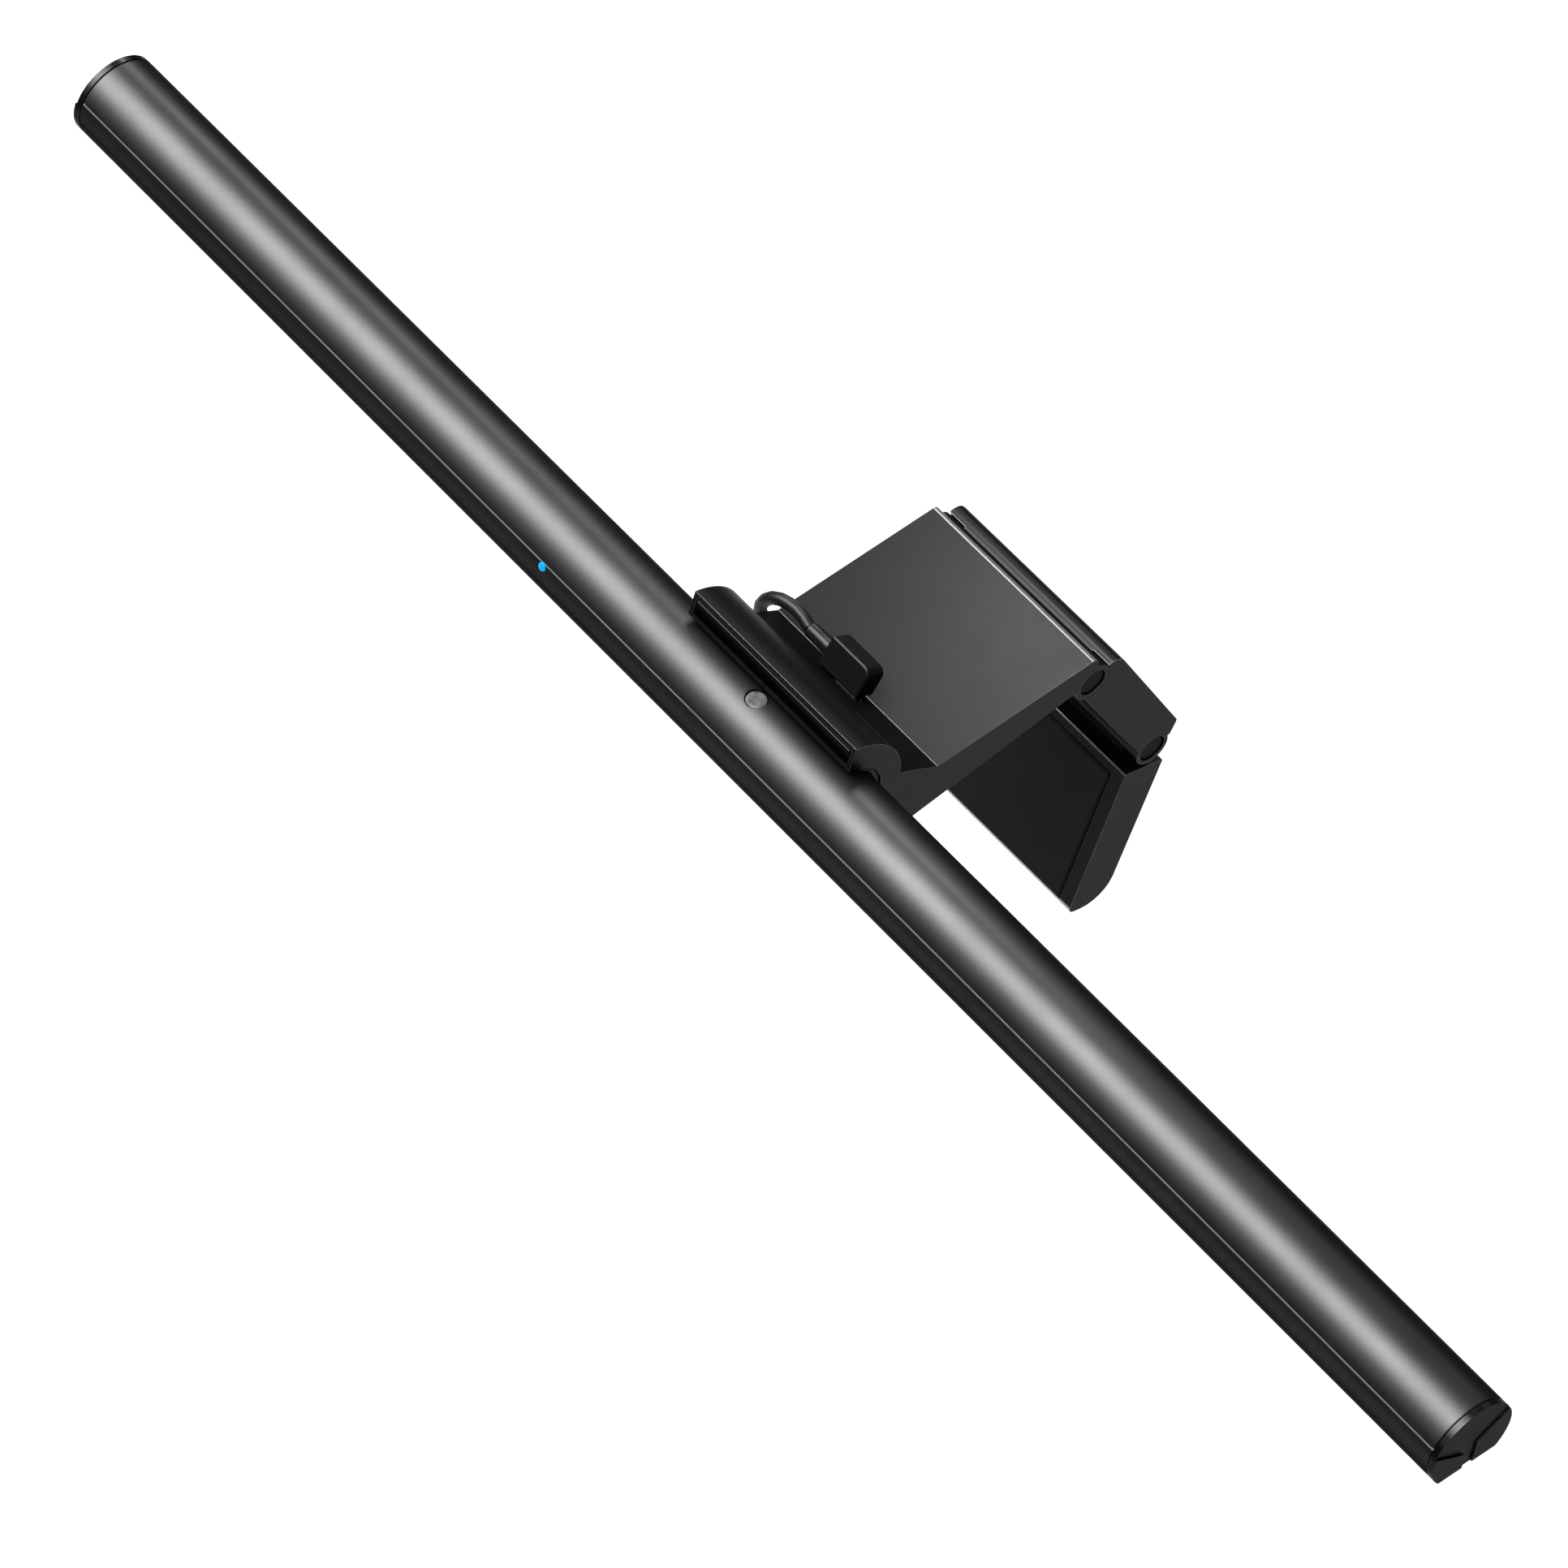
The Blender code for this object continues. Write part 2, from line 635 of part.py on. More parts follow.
def friction_sleeve(name, body, half_length):
    """The split steel sleeve whose grip on the pin holds the joint where it is put."""
    sleeve = prism(name, ring_sector(PIN_RADIUS + GAP, 0.0031, 100, 440, 24), -half_length, half_length)
    add_part(sleeve, body, "bright_steel")


def clamp_arm():
    arm_shell()
    saddle_parts()
    arm_insides()
    hinge_pin("top", CLAMP, from_bar(*LINK_PIN), PIN_CAP_RADIUS)


# ---------------------------------------------------------------- link and flap


def link_shell(body):
    """The weighted link: a wide middle knuckle on the arm's pin and two end knuckles for the flap's."""
    bottom = -LINK_LENGTH
    inside = HALF_WIDTH - KNUCKLE_WIDTH
    outline = rounded(
        [
            (0.0, 0.0005),
            (0.0095, 0.0005, 0.0042),
            (0.0096, -0.0520, 0.0014),
            (0.0058, bottom - 0.0012, 0.0008),
            (0.0, bottom),
            (-0.0034, bottom + 0.003),
            (-0.0042, -0.0035),
        ]
    )
    shell = soften(prism("link_shell", outline, -HALF_WIDTH, HALF_WIDTH), 0.0005, 2, 50)
    top = (0, 0, 0)
    low = (0, 0, bottom)
    middle = inside - 0.0004
    join(
        shell,
        rod("link_low_barrel", 0.0052, along_x(low, -HALF_WIDTH), along_x(low, HALF_WIDTH), 40),
    )
    ends = [
        rod(
            f"arm_knuckle_room_{side}", KNUCKLE_RADIUS + 0.0004,
            (side * middle, 0, 0), (side * 0.04, 0, 0), 40,
        )
        for side in (-1, 1)
    ]
    cut(shell, *ends)
    join(shell, rod("link_top_barrel", KNUCKLE_RADIUS, along_x(top, -middle), along_x(top, middle), 40))
    cut(
        shell,
        rod("flap_knuckle_room", 0.0057, along_x(low, -inside), along_x(low, inside), 40),
        rod("link_top_bore", 0.0034, along_x(top, -0.04), along_x(top, 0.04)),
        rod("link_low_bore", PIN_RADIUS + GAP, along_x(low, -0.04), along_x(low, 0.04)),
        block("weight_pocket", (-0.0265, -0.008, -0.0450), (0.0265, 0.0078, -0.0080)),
        block("cover_seat", (-0.0275, -0.008, -0.0460), (0.0275, -0.0022, -0.0070)),
        *[cap_recess(f"low_pin_recess_{side}", low, side) for side in (-1, 1)],
    )
    add_part(shell, body, "satin_shell")


def rear_link():
    body = add_body("rear_link", CLAMP, (0, *from_bar(*LINK_PIN)), LINK_LEAN)
    link_shell(body)
    weight = block("link_counterweight", (-0.0262, -0.0014, -0.0447), (0.0262, 0.0075, -0.0083))
    add_part(soften(weight, 0.0005), body, "bright_steel")
    cover = block("link_cover", (-0.0272, -0.0039, -0.0457), (0.0272, -0.0025, -0.0073))
    add_part(soften(cover, 0.0002), body, "satin_shell")
    friction_sleeve("top_friction_sleeve", body, 0.0235)
    hinge_pin("low", body, (0, -LINK_LENGTH), 0.0036)
    return body


def flap_shell(body):
    """The flap: a flat block, rounded below, with one wide knuckle on the link's lower pin."""
    inside = HALF_WIDTH - KNUCKLE_WIDTH
    outline = rounded(
        [
            (-0.0069, -FLAP_TOP, 0.0006),
            (0.0067, -FLAP_TOP, 0.0006),
            (0.0062, -FLAP_LENGTH, 0.0085),
            (-0.0069, -FLAP_LENGTH, 0.0022),
        ],
        6,
    )
    shell = soften(prism("flap_shell", outline, -HALF_WIDTH, HALF_WIDTH), 0.0005, 2, 50)
    middle = inside - 0.0004
    join(
        shell,
        rod("flap_barrel", 0.0052, (-middle, 0, 0), (middle, 0, 0), 40),
        block("flap_web", (-middle, -0.0040, -0.0080), (middle, 0.0040, -0.002)),
    )
    cut(
        shell,
        rod("flap_bore", 0.0034, (-0.04, 0, 0), (0.04, 0, 0)),
        block("flap_pocket", (-0.0245, -0.010, -0.0500), (0.0245, 0.0048, -0.0125)),
        block("pad_seat", (-0.0263, -0.010, -0.0545), (0.0263, -0.0057, -0.0094)),
    )
    add_part(shell, body, "satin_shell")


def rear_flap(link):
    body = add_body("rear_flap", link, (0, 0, -LINK_LENGTH), FLAP_LEAN - LINK_LEAN)
    flap_shell(body)
    weight = block("flap_counterweight", (-0.0242, -0.0040, -0.0497), (0.0242, 0.0045, -0.0128))
    add_part(soften(weight, 0.0005), body, "bright_steel")
    pad = block("flap_pad", (-0.0260, -0.0076, -0.0542), (0.0260, -0.0060, -0.0097))
    add_part(soften(pad, 0.0006, 2), body, "black_rubber")
    friction_sleeve("low_friction_sleeve", body, 0.0235)


# ---------------------------------------------------------------- cord


def plug_parts():
    """The side-exit plug that stands in the socket, with its metal nose and its strain relief."""
    half = 0.0033
    outline = arc(half, -90, 90, 12, (0.0015, 0)) + rounded(
        [(0.0015, half), (-0.0096, half, 0.0008), (-0.0096, -half, 0.0008), (0.0015, -half)]
    )[1:-1]
    plug = seat_prism("usb_c_plug_body", outline, PLUG_FOOT, PLUG_HEIGHT)
    add_part(soften(plug, 0.0005, 2, 50), CLAMP, "cable_jacket")
    nose = seat_prism("usb_c_plug_nose", stadium(0.0041, 0.00115), -0.0064, PLUG_FOOT - GAP)
    cut(nose, seat_prism("nose_hollow", stadium(0.0037, 0.00075), -0.008, -0.0012))
    add_part(nose, CLAMP, "bright_steel")
    low = seat_matrix() @ Vector((-0.0096 - GAP, 0, CORD_HEIGHT))
    high = seat_matrix() @ Vector((STRAIN_END, 0, CORD_HEIGHT))
    relief = rod("usb_c_strain_relief", 0.0023, low, high, 20, 0.0021)
    add_part(relief, CLAMP, "cable_jacket")


def cord_route():
    """From the strain relief, over the clamp's left side, back along it, and down behind the monitor."""
    start = seat_matrix() @ Vector((STRAIN_END - 2 * GAP, 0, CORD_HEIGHT))
    return [
        tuple(start),
        (-0.0225, -0.0157, 0.0207),
        (-0.0268, -0.0160, 0.0206),
        (-0.0307, -0.0169, 0.0194),
        (-0.0335, -0.0183, 0.0164),
        (-0.0345, -0.0192, 0.0125),
        (-0.0341, -0.0187, 0.0085),
        (-0.0332, -0.0160, 0.0050),
        (-0.0326, -0.0106, 0.0028),
        (-0.0324, -0.0030, 0.0021),
        (-0.0324, 0.0070, 0.0020),
        (-0.0324, 0.0170, 0.0020),
        (-0.0324, 0.0245, 0.0013),
        (-0.0325, 0.0310, -0.0016),
        (-0.0329, 0.0358, -0.0065),
        (-0.0338, 0.0388, -0.0125),
        (-0.0352, 0.0411, -0.0190),
        (-0.0361, 0.0432, -0.0250),
        (-0.0361, 0.0452, -0.0305),
        tuple(link_place(HANK_ENTRY)),
    ]


def link_place(point):
    """A place behind the monitor, given from the link's upper pin and leaned as the link is."""
    return Vector((0, *from_bar(*LINK_PIN))) + Matrix.Rotation(LINK_LEAN, 3, "X") @ Vector(point)


def link_leaned(obj):
    obj.data.transform(Matrix.Translation((0, *from_bar(*LINK_PIN))) @ Matrix.Rotation(LINK_LEAN, 4, "X"))
    return obj


def cord_tail_route():
    """The cord's last stretch, up the hank's outer face, over its top and down to the plug on it."""
    x = TAIL_X
    middle, height = HANK_PLACE[1:]
    top = height + HANK_RUN / 2
    radius = HANK_RADIUS - 0.0019
    rise = [(x, middle - radius, top - drop) for drop in (0.040, 0.030, 0.020, 0.010)]
    fold = [(x, *polar(radius, degrees, (middle, top))) for degrees in (180, 150, 120, 90, 60, 30, 5)]
    down = [
        (x - 0.0003, middle + radius - 0.0010, top - 0.0055),
        (x - 0.0012, middle + 0.0085, top - 0.0105),
        (USB_A_X, middle + 0.0045, top - 0.0150),
        (USB_A_X, USB_A_Y, USB_A_TOP + 0.0010),
    ]
    return [tuple(link_place(point)) for point in rise + fold + down]


def cord_parts():
    """The 1.5 m cord: its loose stretch, the rest folded in a tied hank, and the plug at its far end."""
    spacing = 2.2 * CORD_DIAMETER
    radius = CORD_DIAMETER / 2
    add_part(tube("usb_cord", smooth_route(cord_route(), spacing * 0.55), radius), CLAMP, "cable_jacket")
    tail = tube("usb_cord_tail", smooth_route(cord_tail_route(), spacing * 0.7), radius)
    add_part(tail, CLAMP, "cable_jacket")

    x, y, z = HANK_PLACE
    half_run = HANK_RUN / 2
    outline = arc(HANK_RADIUS, 0, 180, 14, (y, z + half_run))
    outline += arc(HANK_RADIUS, 180, 360, 14, (y, z - half_run))
    hank = prism("cord_hank", outline, x - HANK_THICKNESS / 2, x + HANK_THICKNESS / 2)
    add_part(link_leaned(hank), CLAMP, "cable_jacket")

    low_x = TAIL_X - radius - GAP
    high_x = x + HANK_THICKNESS / 2 + GAP
    reach = HANK_RADIUS + GAP
    band = 0.0009
    tie_top = z + half_run + 0.0005
    tie_low = tie_top - 0.0050
    tie_corners = ((low_x - band, y - reach - band, tie_low), (high_x + band, y + reach + band, tie_top))
    tie = block("cord_tie", *tie_corners)
    inner = block("tie_opening", (low_x, y - reach, tie_low - 0.01), (high_x, y + reach, tie_top + 0.01))
    add_part(cut(link_leaned(soften(tie, 0.0006)), link_leaned(inner)), CLAMP, "hook_and_loop")

    body_low = USB_A_TOP - 0.024
    plug = block(
        "usb_a_plug_body",
        (USB_A_X - 0.004, USB_A_Y - 0.0078, body_low),
        (USB_A_X + 0.004, USB_A_Y + 0.0078, USB_A_TOP),
    )
    add_part(soften(link_leaned(plug), 0.0012, 2), CLAMP, "cable_jacket")
    shell = block(
        "usb_a_plug_shell",
        (USB_A_X - 0.00225, USB_A_Y - 0.006, body_low - GAP - 0.0145),
        (USB_A_X + 0.00225, USB_A_Y + 0.006, body_low - GAP),
    )
    mouth = block(
        "usb_a_mouth",
        (USB_A_X - 0.0002, USB_A_Y - 0.0056, body_low - 0.02),
        (USB_A_X + 0.00185, USB_A_Y + 0.0056, body_low - 0.003),
    )
    add_part(cut(link_leaned(shell), link_leaned(mouth)), CLAMP, "bright_steel")


# ---------------------------------------------------------------- assembly

PLUG_FOOT = 0.0010
PLUG_HEIGHT = 0.0094
CORD_HEIGHT = 0.0045  # of the cord's exit above the facet
STRAIN_END = -0.0176
HANK_ENTRY = (HANK_PLACE[0] + 0.0053, HANK_PLACE[1] + 0.0105, -0.0374)
TAIL_X = HANK_PLACE[0] - HANK_THICKNESS / 2 - CORD_DIAMETER / 2 - GAP
USB_A_X = HANK_PLACE[0] - HANK_THICKNESS / 2 - 0.0044
USB_A_Y = HANK_PLACE[1] + 0.0030
USB_A_TOP = -0.0705
LIP_LEAN = math.radians(LIP_ANGLE - 0.7)
CONTACT_LEAN = math.radians(-36.0)
SCREW_Y = (from_bar(0.062, 0)[0], 0.03)
SCREWS = ((1, -0.016), (2, 0.016))

clear_scene()
HELPERS = {}
PARTS = new_collection("monitor_light_bar")
CUTTERS = new_collection("cutters")
CLAMP = add_body("clamp", None, (0, 0, 0), 0.0)

clamp_arm()
light_bar(CLAMP)
LINK = rear_link()
rear_flap(LINK)
plug_parts()
cord_parts()
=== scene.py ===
"""The looks of a monitor light bar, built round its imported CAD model."""

import json
import math

import bmesh
import bpy
from mathutils import Matrix, Vector


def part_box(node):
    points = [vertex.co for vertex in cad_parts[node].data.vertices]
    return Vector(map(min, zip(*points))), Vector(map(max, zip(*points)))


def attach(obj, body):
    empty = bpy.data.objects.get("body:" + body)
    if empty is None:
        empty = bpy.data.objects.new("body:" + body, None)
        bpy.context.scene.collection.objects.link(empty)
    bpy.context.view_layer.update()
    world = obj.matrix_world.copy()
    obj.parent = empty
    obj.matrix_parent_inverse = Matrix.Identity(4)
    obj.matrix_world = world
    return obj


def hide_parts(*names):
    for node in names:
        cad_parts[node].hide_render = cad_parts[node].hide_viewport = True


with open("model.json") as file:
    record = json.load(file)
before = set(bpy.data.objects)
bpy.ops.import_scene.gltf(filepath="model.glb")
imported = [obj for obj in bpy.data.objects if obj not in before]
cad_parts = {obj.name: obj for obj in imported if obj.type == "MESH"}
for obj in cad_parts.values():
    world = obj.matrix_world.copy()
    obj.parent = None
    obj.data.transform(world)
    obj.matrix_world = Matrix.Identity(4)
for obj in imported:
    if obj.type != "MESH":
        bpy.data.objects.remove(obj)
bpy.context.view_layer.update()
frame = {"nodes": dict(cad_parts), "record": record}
NODES = frame["nodes"]
BODY_OF = {node: body for body, nodes in frame["record"]["behaviour"]["bodies"].items() for node in nodes}

# ---------------------------------------------------------------- sizes and places, in metres

# The tube, with its angles in degrees about the bar's axis
BAR_AXIS = (-0.048, 0.0274)  # y, z
BAR_LEAN = math.radians(-11.8)
TUBE_RADIUS = 0.01225
TUBE_HALF = 0.2548
TUBE_WALL = 0.0013
TUBE_SKIN = 0.0008  # how far inside the tube's radius a point of its outer face may lie
END_RUN = 0.0004  # of the broken edge round the tube's ends
END_DROP = 0.00015
FLAT_DEPTH = 0.00823
FLAT_CORNER = 0.0003  # what the broken edge takes off the flat
FLAT_CORNER_TURN = 1.2  # and off the round beside it, in degrees
SLOT_HALF = 0.0078  # of the diffuser's slot in the flat
SLOT_EDGE = 0.0002
TRIM_ANGLE = 156.1
TRIM_START = -1.6  # degrees past its middle, where the tube's round ends
TRIM_STEPS = ((-0.6, 0.0005), (0.5, 0.00022), (0.9, 0.00018), (2.0, 0.0))  # degrees past its middle, depth
TRIM_SHALLOWEST = 0.00003  # depth of a face that still belongs to the trim

# What is set into the tube
SENSOR_PLACE = (-0.001, 92.5)  # x, angle
SENSOR_RADIUS = 0.0027
SENSOR_HOLE = 0.0030
INDICATOR_PLACE = (-0.0687, 163.9)
INDICATOR_RADIUS = 0.00125
INDICATOR_HOLE = 0.00150
HOLE_CUT = (0.009, 0.014)  # the radii that a round hole is cut between
LENS_CROWN = 0.0005  # the rise of a lens's domed face
CONTACT_WINDOW_TURN = (-39.5, 1.5)  # the angles that the rear window lies between
CONTACT_WINDOW_HALF = 0.0073
CONTACT_WINDOW_CUT = (0.010, 0.014)
HOLE_ROOM = (  # the middle of each hole along X, and the room to the rings of points beside it
    (INDICATOR_PLACE[0], 0.006),
    (SENSOR_PLACE[0], 0.005),
    (0.0, 0.012),
)

# The clamp, with y and z for each line along X
LINK_PIN = (BAR_AXIS[0] + 0.0806, BAR_AXIS[1] - 0.02773)
LINK_LEAN = math.radians(19.4)
FACET_LEAN = math.radians(-41.28)
SOCKET_SEAT = (BAR_AXIS[0] + 0.02864, BAR_AXIS[1] - 0.01092)
REAR_EDGE = (BAR_AXIS[0] + 0.0815, BAR_AXIS[1] - 0.0198)  # of the arm's top, above its knuckles
SADDLE_LIP = (-0.04025, 0.0475)  # the saddle's upper edge, over the bar
FACET_FOOT = (-0.01673, 0.01417)  # the edge where the sloping facet meets the arm's top
FLAP_EDGE = (0.0232, -0.0981)  # the rounding at the flap's lower front edge
FLAP_TOP_EDGE = (0.0415, -0.0542)
CAP_FACE_DEPTH = 0.0008  # of the steps in an end cap's face

# The plug in the clamp, in its seat's frame, and the cord
PLUG_FAR = -0.0048
PLUG_NEAR = 0.0096
PLUG_FOOT = 0.0010  # above the facet
PLUG_TOP = 0.0094
PLUG_HALF_DEPTH = 0.0033
STRAIN_END = -0.0176
CORD_DIAMETER = 0.0035
CORD_HEIGHT = 0.0045
CORD_GAP = 0.0006  # from the strain relief's end to the cord's first point
LOOSE_SPACING = 0.0028  # between the points of the cord's curve
TAIL_SPACING = 0.0035

# The stored length, in the link's leaned frame
HANK_PLACE = (-0.0412, -0.00645, -0.0799)
HANK_HALF_RUN = 0.028
HANK_RADII = (0.0105, 0.0140)  # of the inner and the outer turns' bends
HANK_COLUMNS = (0.0054, 0.0018, -0.0018, -0.0054, -0.00925)  # x of the turns, from the hank's middle
SHIFT_RUN = 0.014  # the part of a run in which a turn moves over to the next one's place
SHIFT_STAGGER = 0.007  # between the heights where two turns start to move over
USB_A_PLACE = (HANK_PLACE[0] - 0.0116, HANK_PLACE[1] + 0.0030, -0.0705)

# Where one thing ends and the next begins
WELD = 2e-6  # points this near are one point
FLAT_TURN = math.radians(0.5)  # faces that turn by less are one flat face
INNER_CORNER = math.radians(-12)  # an edge that turns by less is an inward one
# the edge mask carries both rubbed wear and painted edge highlights
FULL_WEAR_AND_HIGHLIGHT, NO_WEAR_AND_HIGHLIGHT = 0.86, 0.995  # cosines of the turn between a face's normal and its rounded normal
LENGTHWISE = 0.1  # a face with less X than this in its normal runs along the tube
NEARLY_LENGTHWISE = 0.3  # the same for a clamp's rounded edges
ON_TUBE = 0.97  # least cosine of the turn between a face's normal and the tube's own
CAP_OUTWARD = 0.6  # least X in the normal of an end cap's face


# ---------------------------------------------------------------- shapes


def polar(radius, degrees, center=(0.0, 0.0)):
    angle = math.radians(degrees)
    return (center[0] + radius * math.cos(angle), center[1] + radius * math.sin(angle))


def arc(radius, start, end, steps, center=(0.0, 0.0)):
    return [polar(radius, start + (end - start) * i / steps, center) for i in range(steps + 1)]


def bar_matrix():
    """The bar's own frame: its origin is on the tube's axis."""
    return Matrix.Translation((0, *BAR_AXIS)) @ Matrix.Rotation(BAR_LEAN, 4, "X")


def radial_matrix(x, degrees):
    """A frame whose Z axis stands along a radius of the bar, in the bar's own frame."""
    return Matrix.Translation((x, 0, 0)) @ Matrix.Rotation(math.radians(degrees) - math.pi / 2, 4, "X")


def link_place(point):
    """A place behind the monitor, given from the link's upper pin and leaned as the link is."""
    return Vector((0, *LINK_PIN)) + Matrix.Rotation(LINK_LEAN, 3, "X") @ Vector(point)


def seat_matrix():
    """The frame of the socket's seat: its Z axis stands on the facet."""
    return Matrix.Translation((0, *SOCKET_SEAT)) @ Matrix.Rotation(FACET_LEAN, 4, "X")


def linked(name, data):
    obj = bpy.data.objects.new(name, data)
    bpy.context.scene.collection.objects.link(obj)
    return obj


def apply_modifiers(obj):
    """Bakes the modifiers into the mesh."""
    graph = bpy.context.evaluated_depsgraph_get()
    mesh = bpy.data.meshes.new_from_object(obj.evaluated_get(graph), depsgraph=graph)
    obj.modifiers.clear()
    obj.data = mesh


def soften(obj, width, segments, degrees):
    """Rounds the edges that turn by more than this many degrees."""
    bevel = obj.modifiers.new("edge", "BEVEL")
    bevel.width = width
    bevel.segments = segments
    bevel.limit_method = "ANGLE"
    bevel.angle_limit = math.radians(degrees)
    bevel.use_clamp_overlap = True
    bevel.miter_outer = "MITER_ARC"
    apply_modifiers(obj)


def smoothed(obj, degrees, flat_faces):
    """Smooth shading, which stays flat on large faces if asked, so that only the rounded edges turn."""
    obj.data.shade_smooth()
    obj.data.set_sharp_from_angle(angle=math.radians(degrees))
    if flat_faces:
        weighted = obj.modifiers.new("normals", "WEIGHTED_NORMAL")
        weighted.keep_sharp = True
        weighted.weight = 100  # the most, so that the largest face decides
        apply_modifiers(obj)


def cut(obj, *tools):
    """Takes each tool's solid away from the piece."""
    for tool in tools:
        boolean = obj.modifiers.new("cut", "BOOLEAN")
        boolean.operation = "DIFFERENCE"
        boolean.solver = "EXACT"
        boolean.object = tool
        apply_modifiers(obj)
        bpy.data.objects.remove(tool)


def outward(obj):
    """Turns all the faces outward."""
    work = bmesh.new()
    work.from_mesh(obj.data)
    bmesh.ops.recalc_face_normals(work, faces=work.faces)
    work.to_mesh(obj.data)
    work.free()


def prism(name, outline, stations):
    """A solid along X with a YZ outline, with a ring of points at each station."""
    count = len(outline)
    points = [(x, y, z) for x in stations for y, z in outline]
    faces = [
        (k * count + i, k * count + (i + 1) % count, (k + 1) * count + (i + 1) % count, (k + 1) * count + i)
        for k in range(len(stations) - 1)
        for i in range(count)
    ]
    faces.append(tuple(reversed(range(count))))
    faces.append(tuple(range((len(stations) - 1) * count, len(stations) * count)))
    mesh = bpy.data.meshes.new(name)
    mesh.from_pydata(points, [], faces)
    obj = linked(name, mesh)
    outward(obj)
    return obj


def turned(name, profile, matrix, sides=48):
    """A solid turned about Z from (radius, height) pairs; a radius of zero closes an end."""
    work = bmesh.new()
    rings = []
    for radius, height in profile:
        if radius == 0:
            rings.append([work.verts.new((0, 0, height))])
        else:
            rings.append([work.verts.new((*polar(radius, 360 * k / sides), height)) for k in range(sides)])
    for low, high in zip(rings, rings[1:]):
        for k in range(sides):
            below = [low[k % len(low)], low[(k + 1) % len(low)]]
            above = [high[(k + 1) % len(high)], high[k % len(high)]]
            work.faces.new(dict.fromkeys(below + above))
    bmesh.ops.recalc_face_normals(work, faces=work.faces)
    bmesh.ops.transform(work, matrix=matrix, verts=work.verts)
    mesh = bpy.data.meshes.new(name)
    work.to_mesh(mesh)
    work.free()
    return linked(name, mesh)


def mark_outer_edges(obj):
    """Marks the points with no inward edge, so that a coat's wear and its painted edge highlight keep out
    of inner corners.
    """
    work = bmesh.new()
    work.from_mesh(obj.data)
    mark = work.verts.layers.float.new("outer_edge")
    for vertex in work.verts:
        turns = [edge.calc_face_angle_signed(0.0) for edge in vertex.link_edges]
        vertex[mark] = float(min(turns, default=0.0) > INNER_CORNER)
    work.to_mesh(obj.data)
    work.free()


def finish_piece(obj, node, finish, degrees=35, flat_faces=True):
    """Gives a piece its material and lets it stand for its CAD node, on that node's body."""
    smoothed(obj, degrees, flat_faces)
    if finish is not None:
        obj.data.materials.clear()
        obj.data.materials.append(bpy.data.materials[finish])
    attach(obj, BODY_OF[node])
    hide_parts(node)


def fine_copy(node, finish, width=0.0002, segments=3, degrees=30, flat_faces=True):
    """A finer piece with a CAD node's shape: whole flat faces and rounded edges."""
    work = bmesh.new()
    work.from_mesh(NODES[node].data)
    bmesh.ops.remove_doubles(work, verts=work.verts, dist=WELD)
    bmesh.ops.dissolve_limit(work, angle_limit=FLAT_TURN, verts=work.verts, edges=work.edges)
    mesh = bpy.data.meshes.new("fine_" + node)
    work.to_mesh(mesh)
    work.free()
    obj = linked("fine_" + node, mesh)
    soften(obj, width, segments, degrees)
    mark_outer_edges(obj)
    finish_piece(obj, node, finish, flat_faces=flat_faces)
    return obj


# ---------------------------------------------------------------- materials


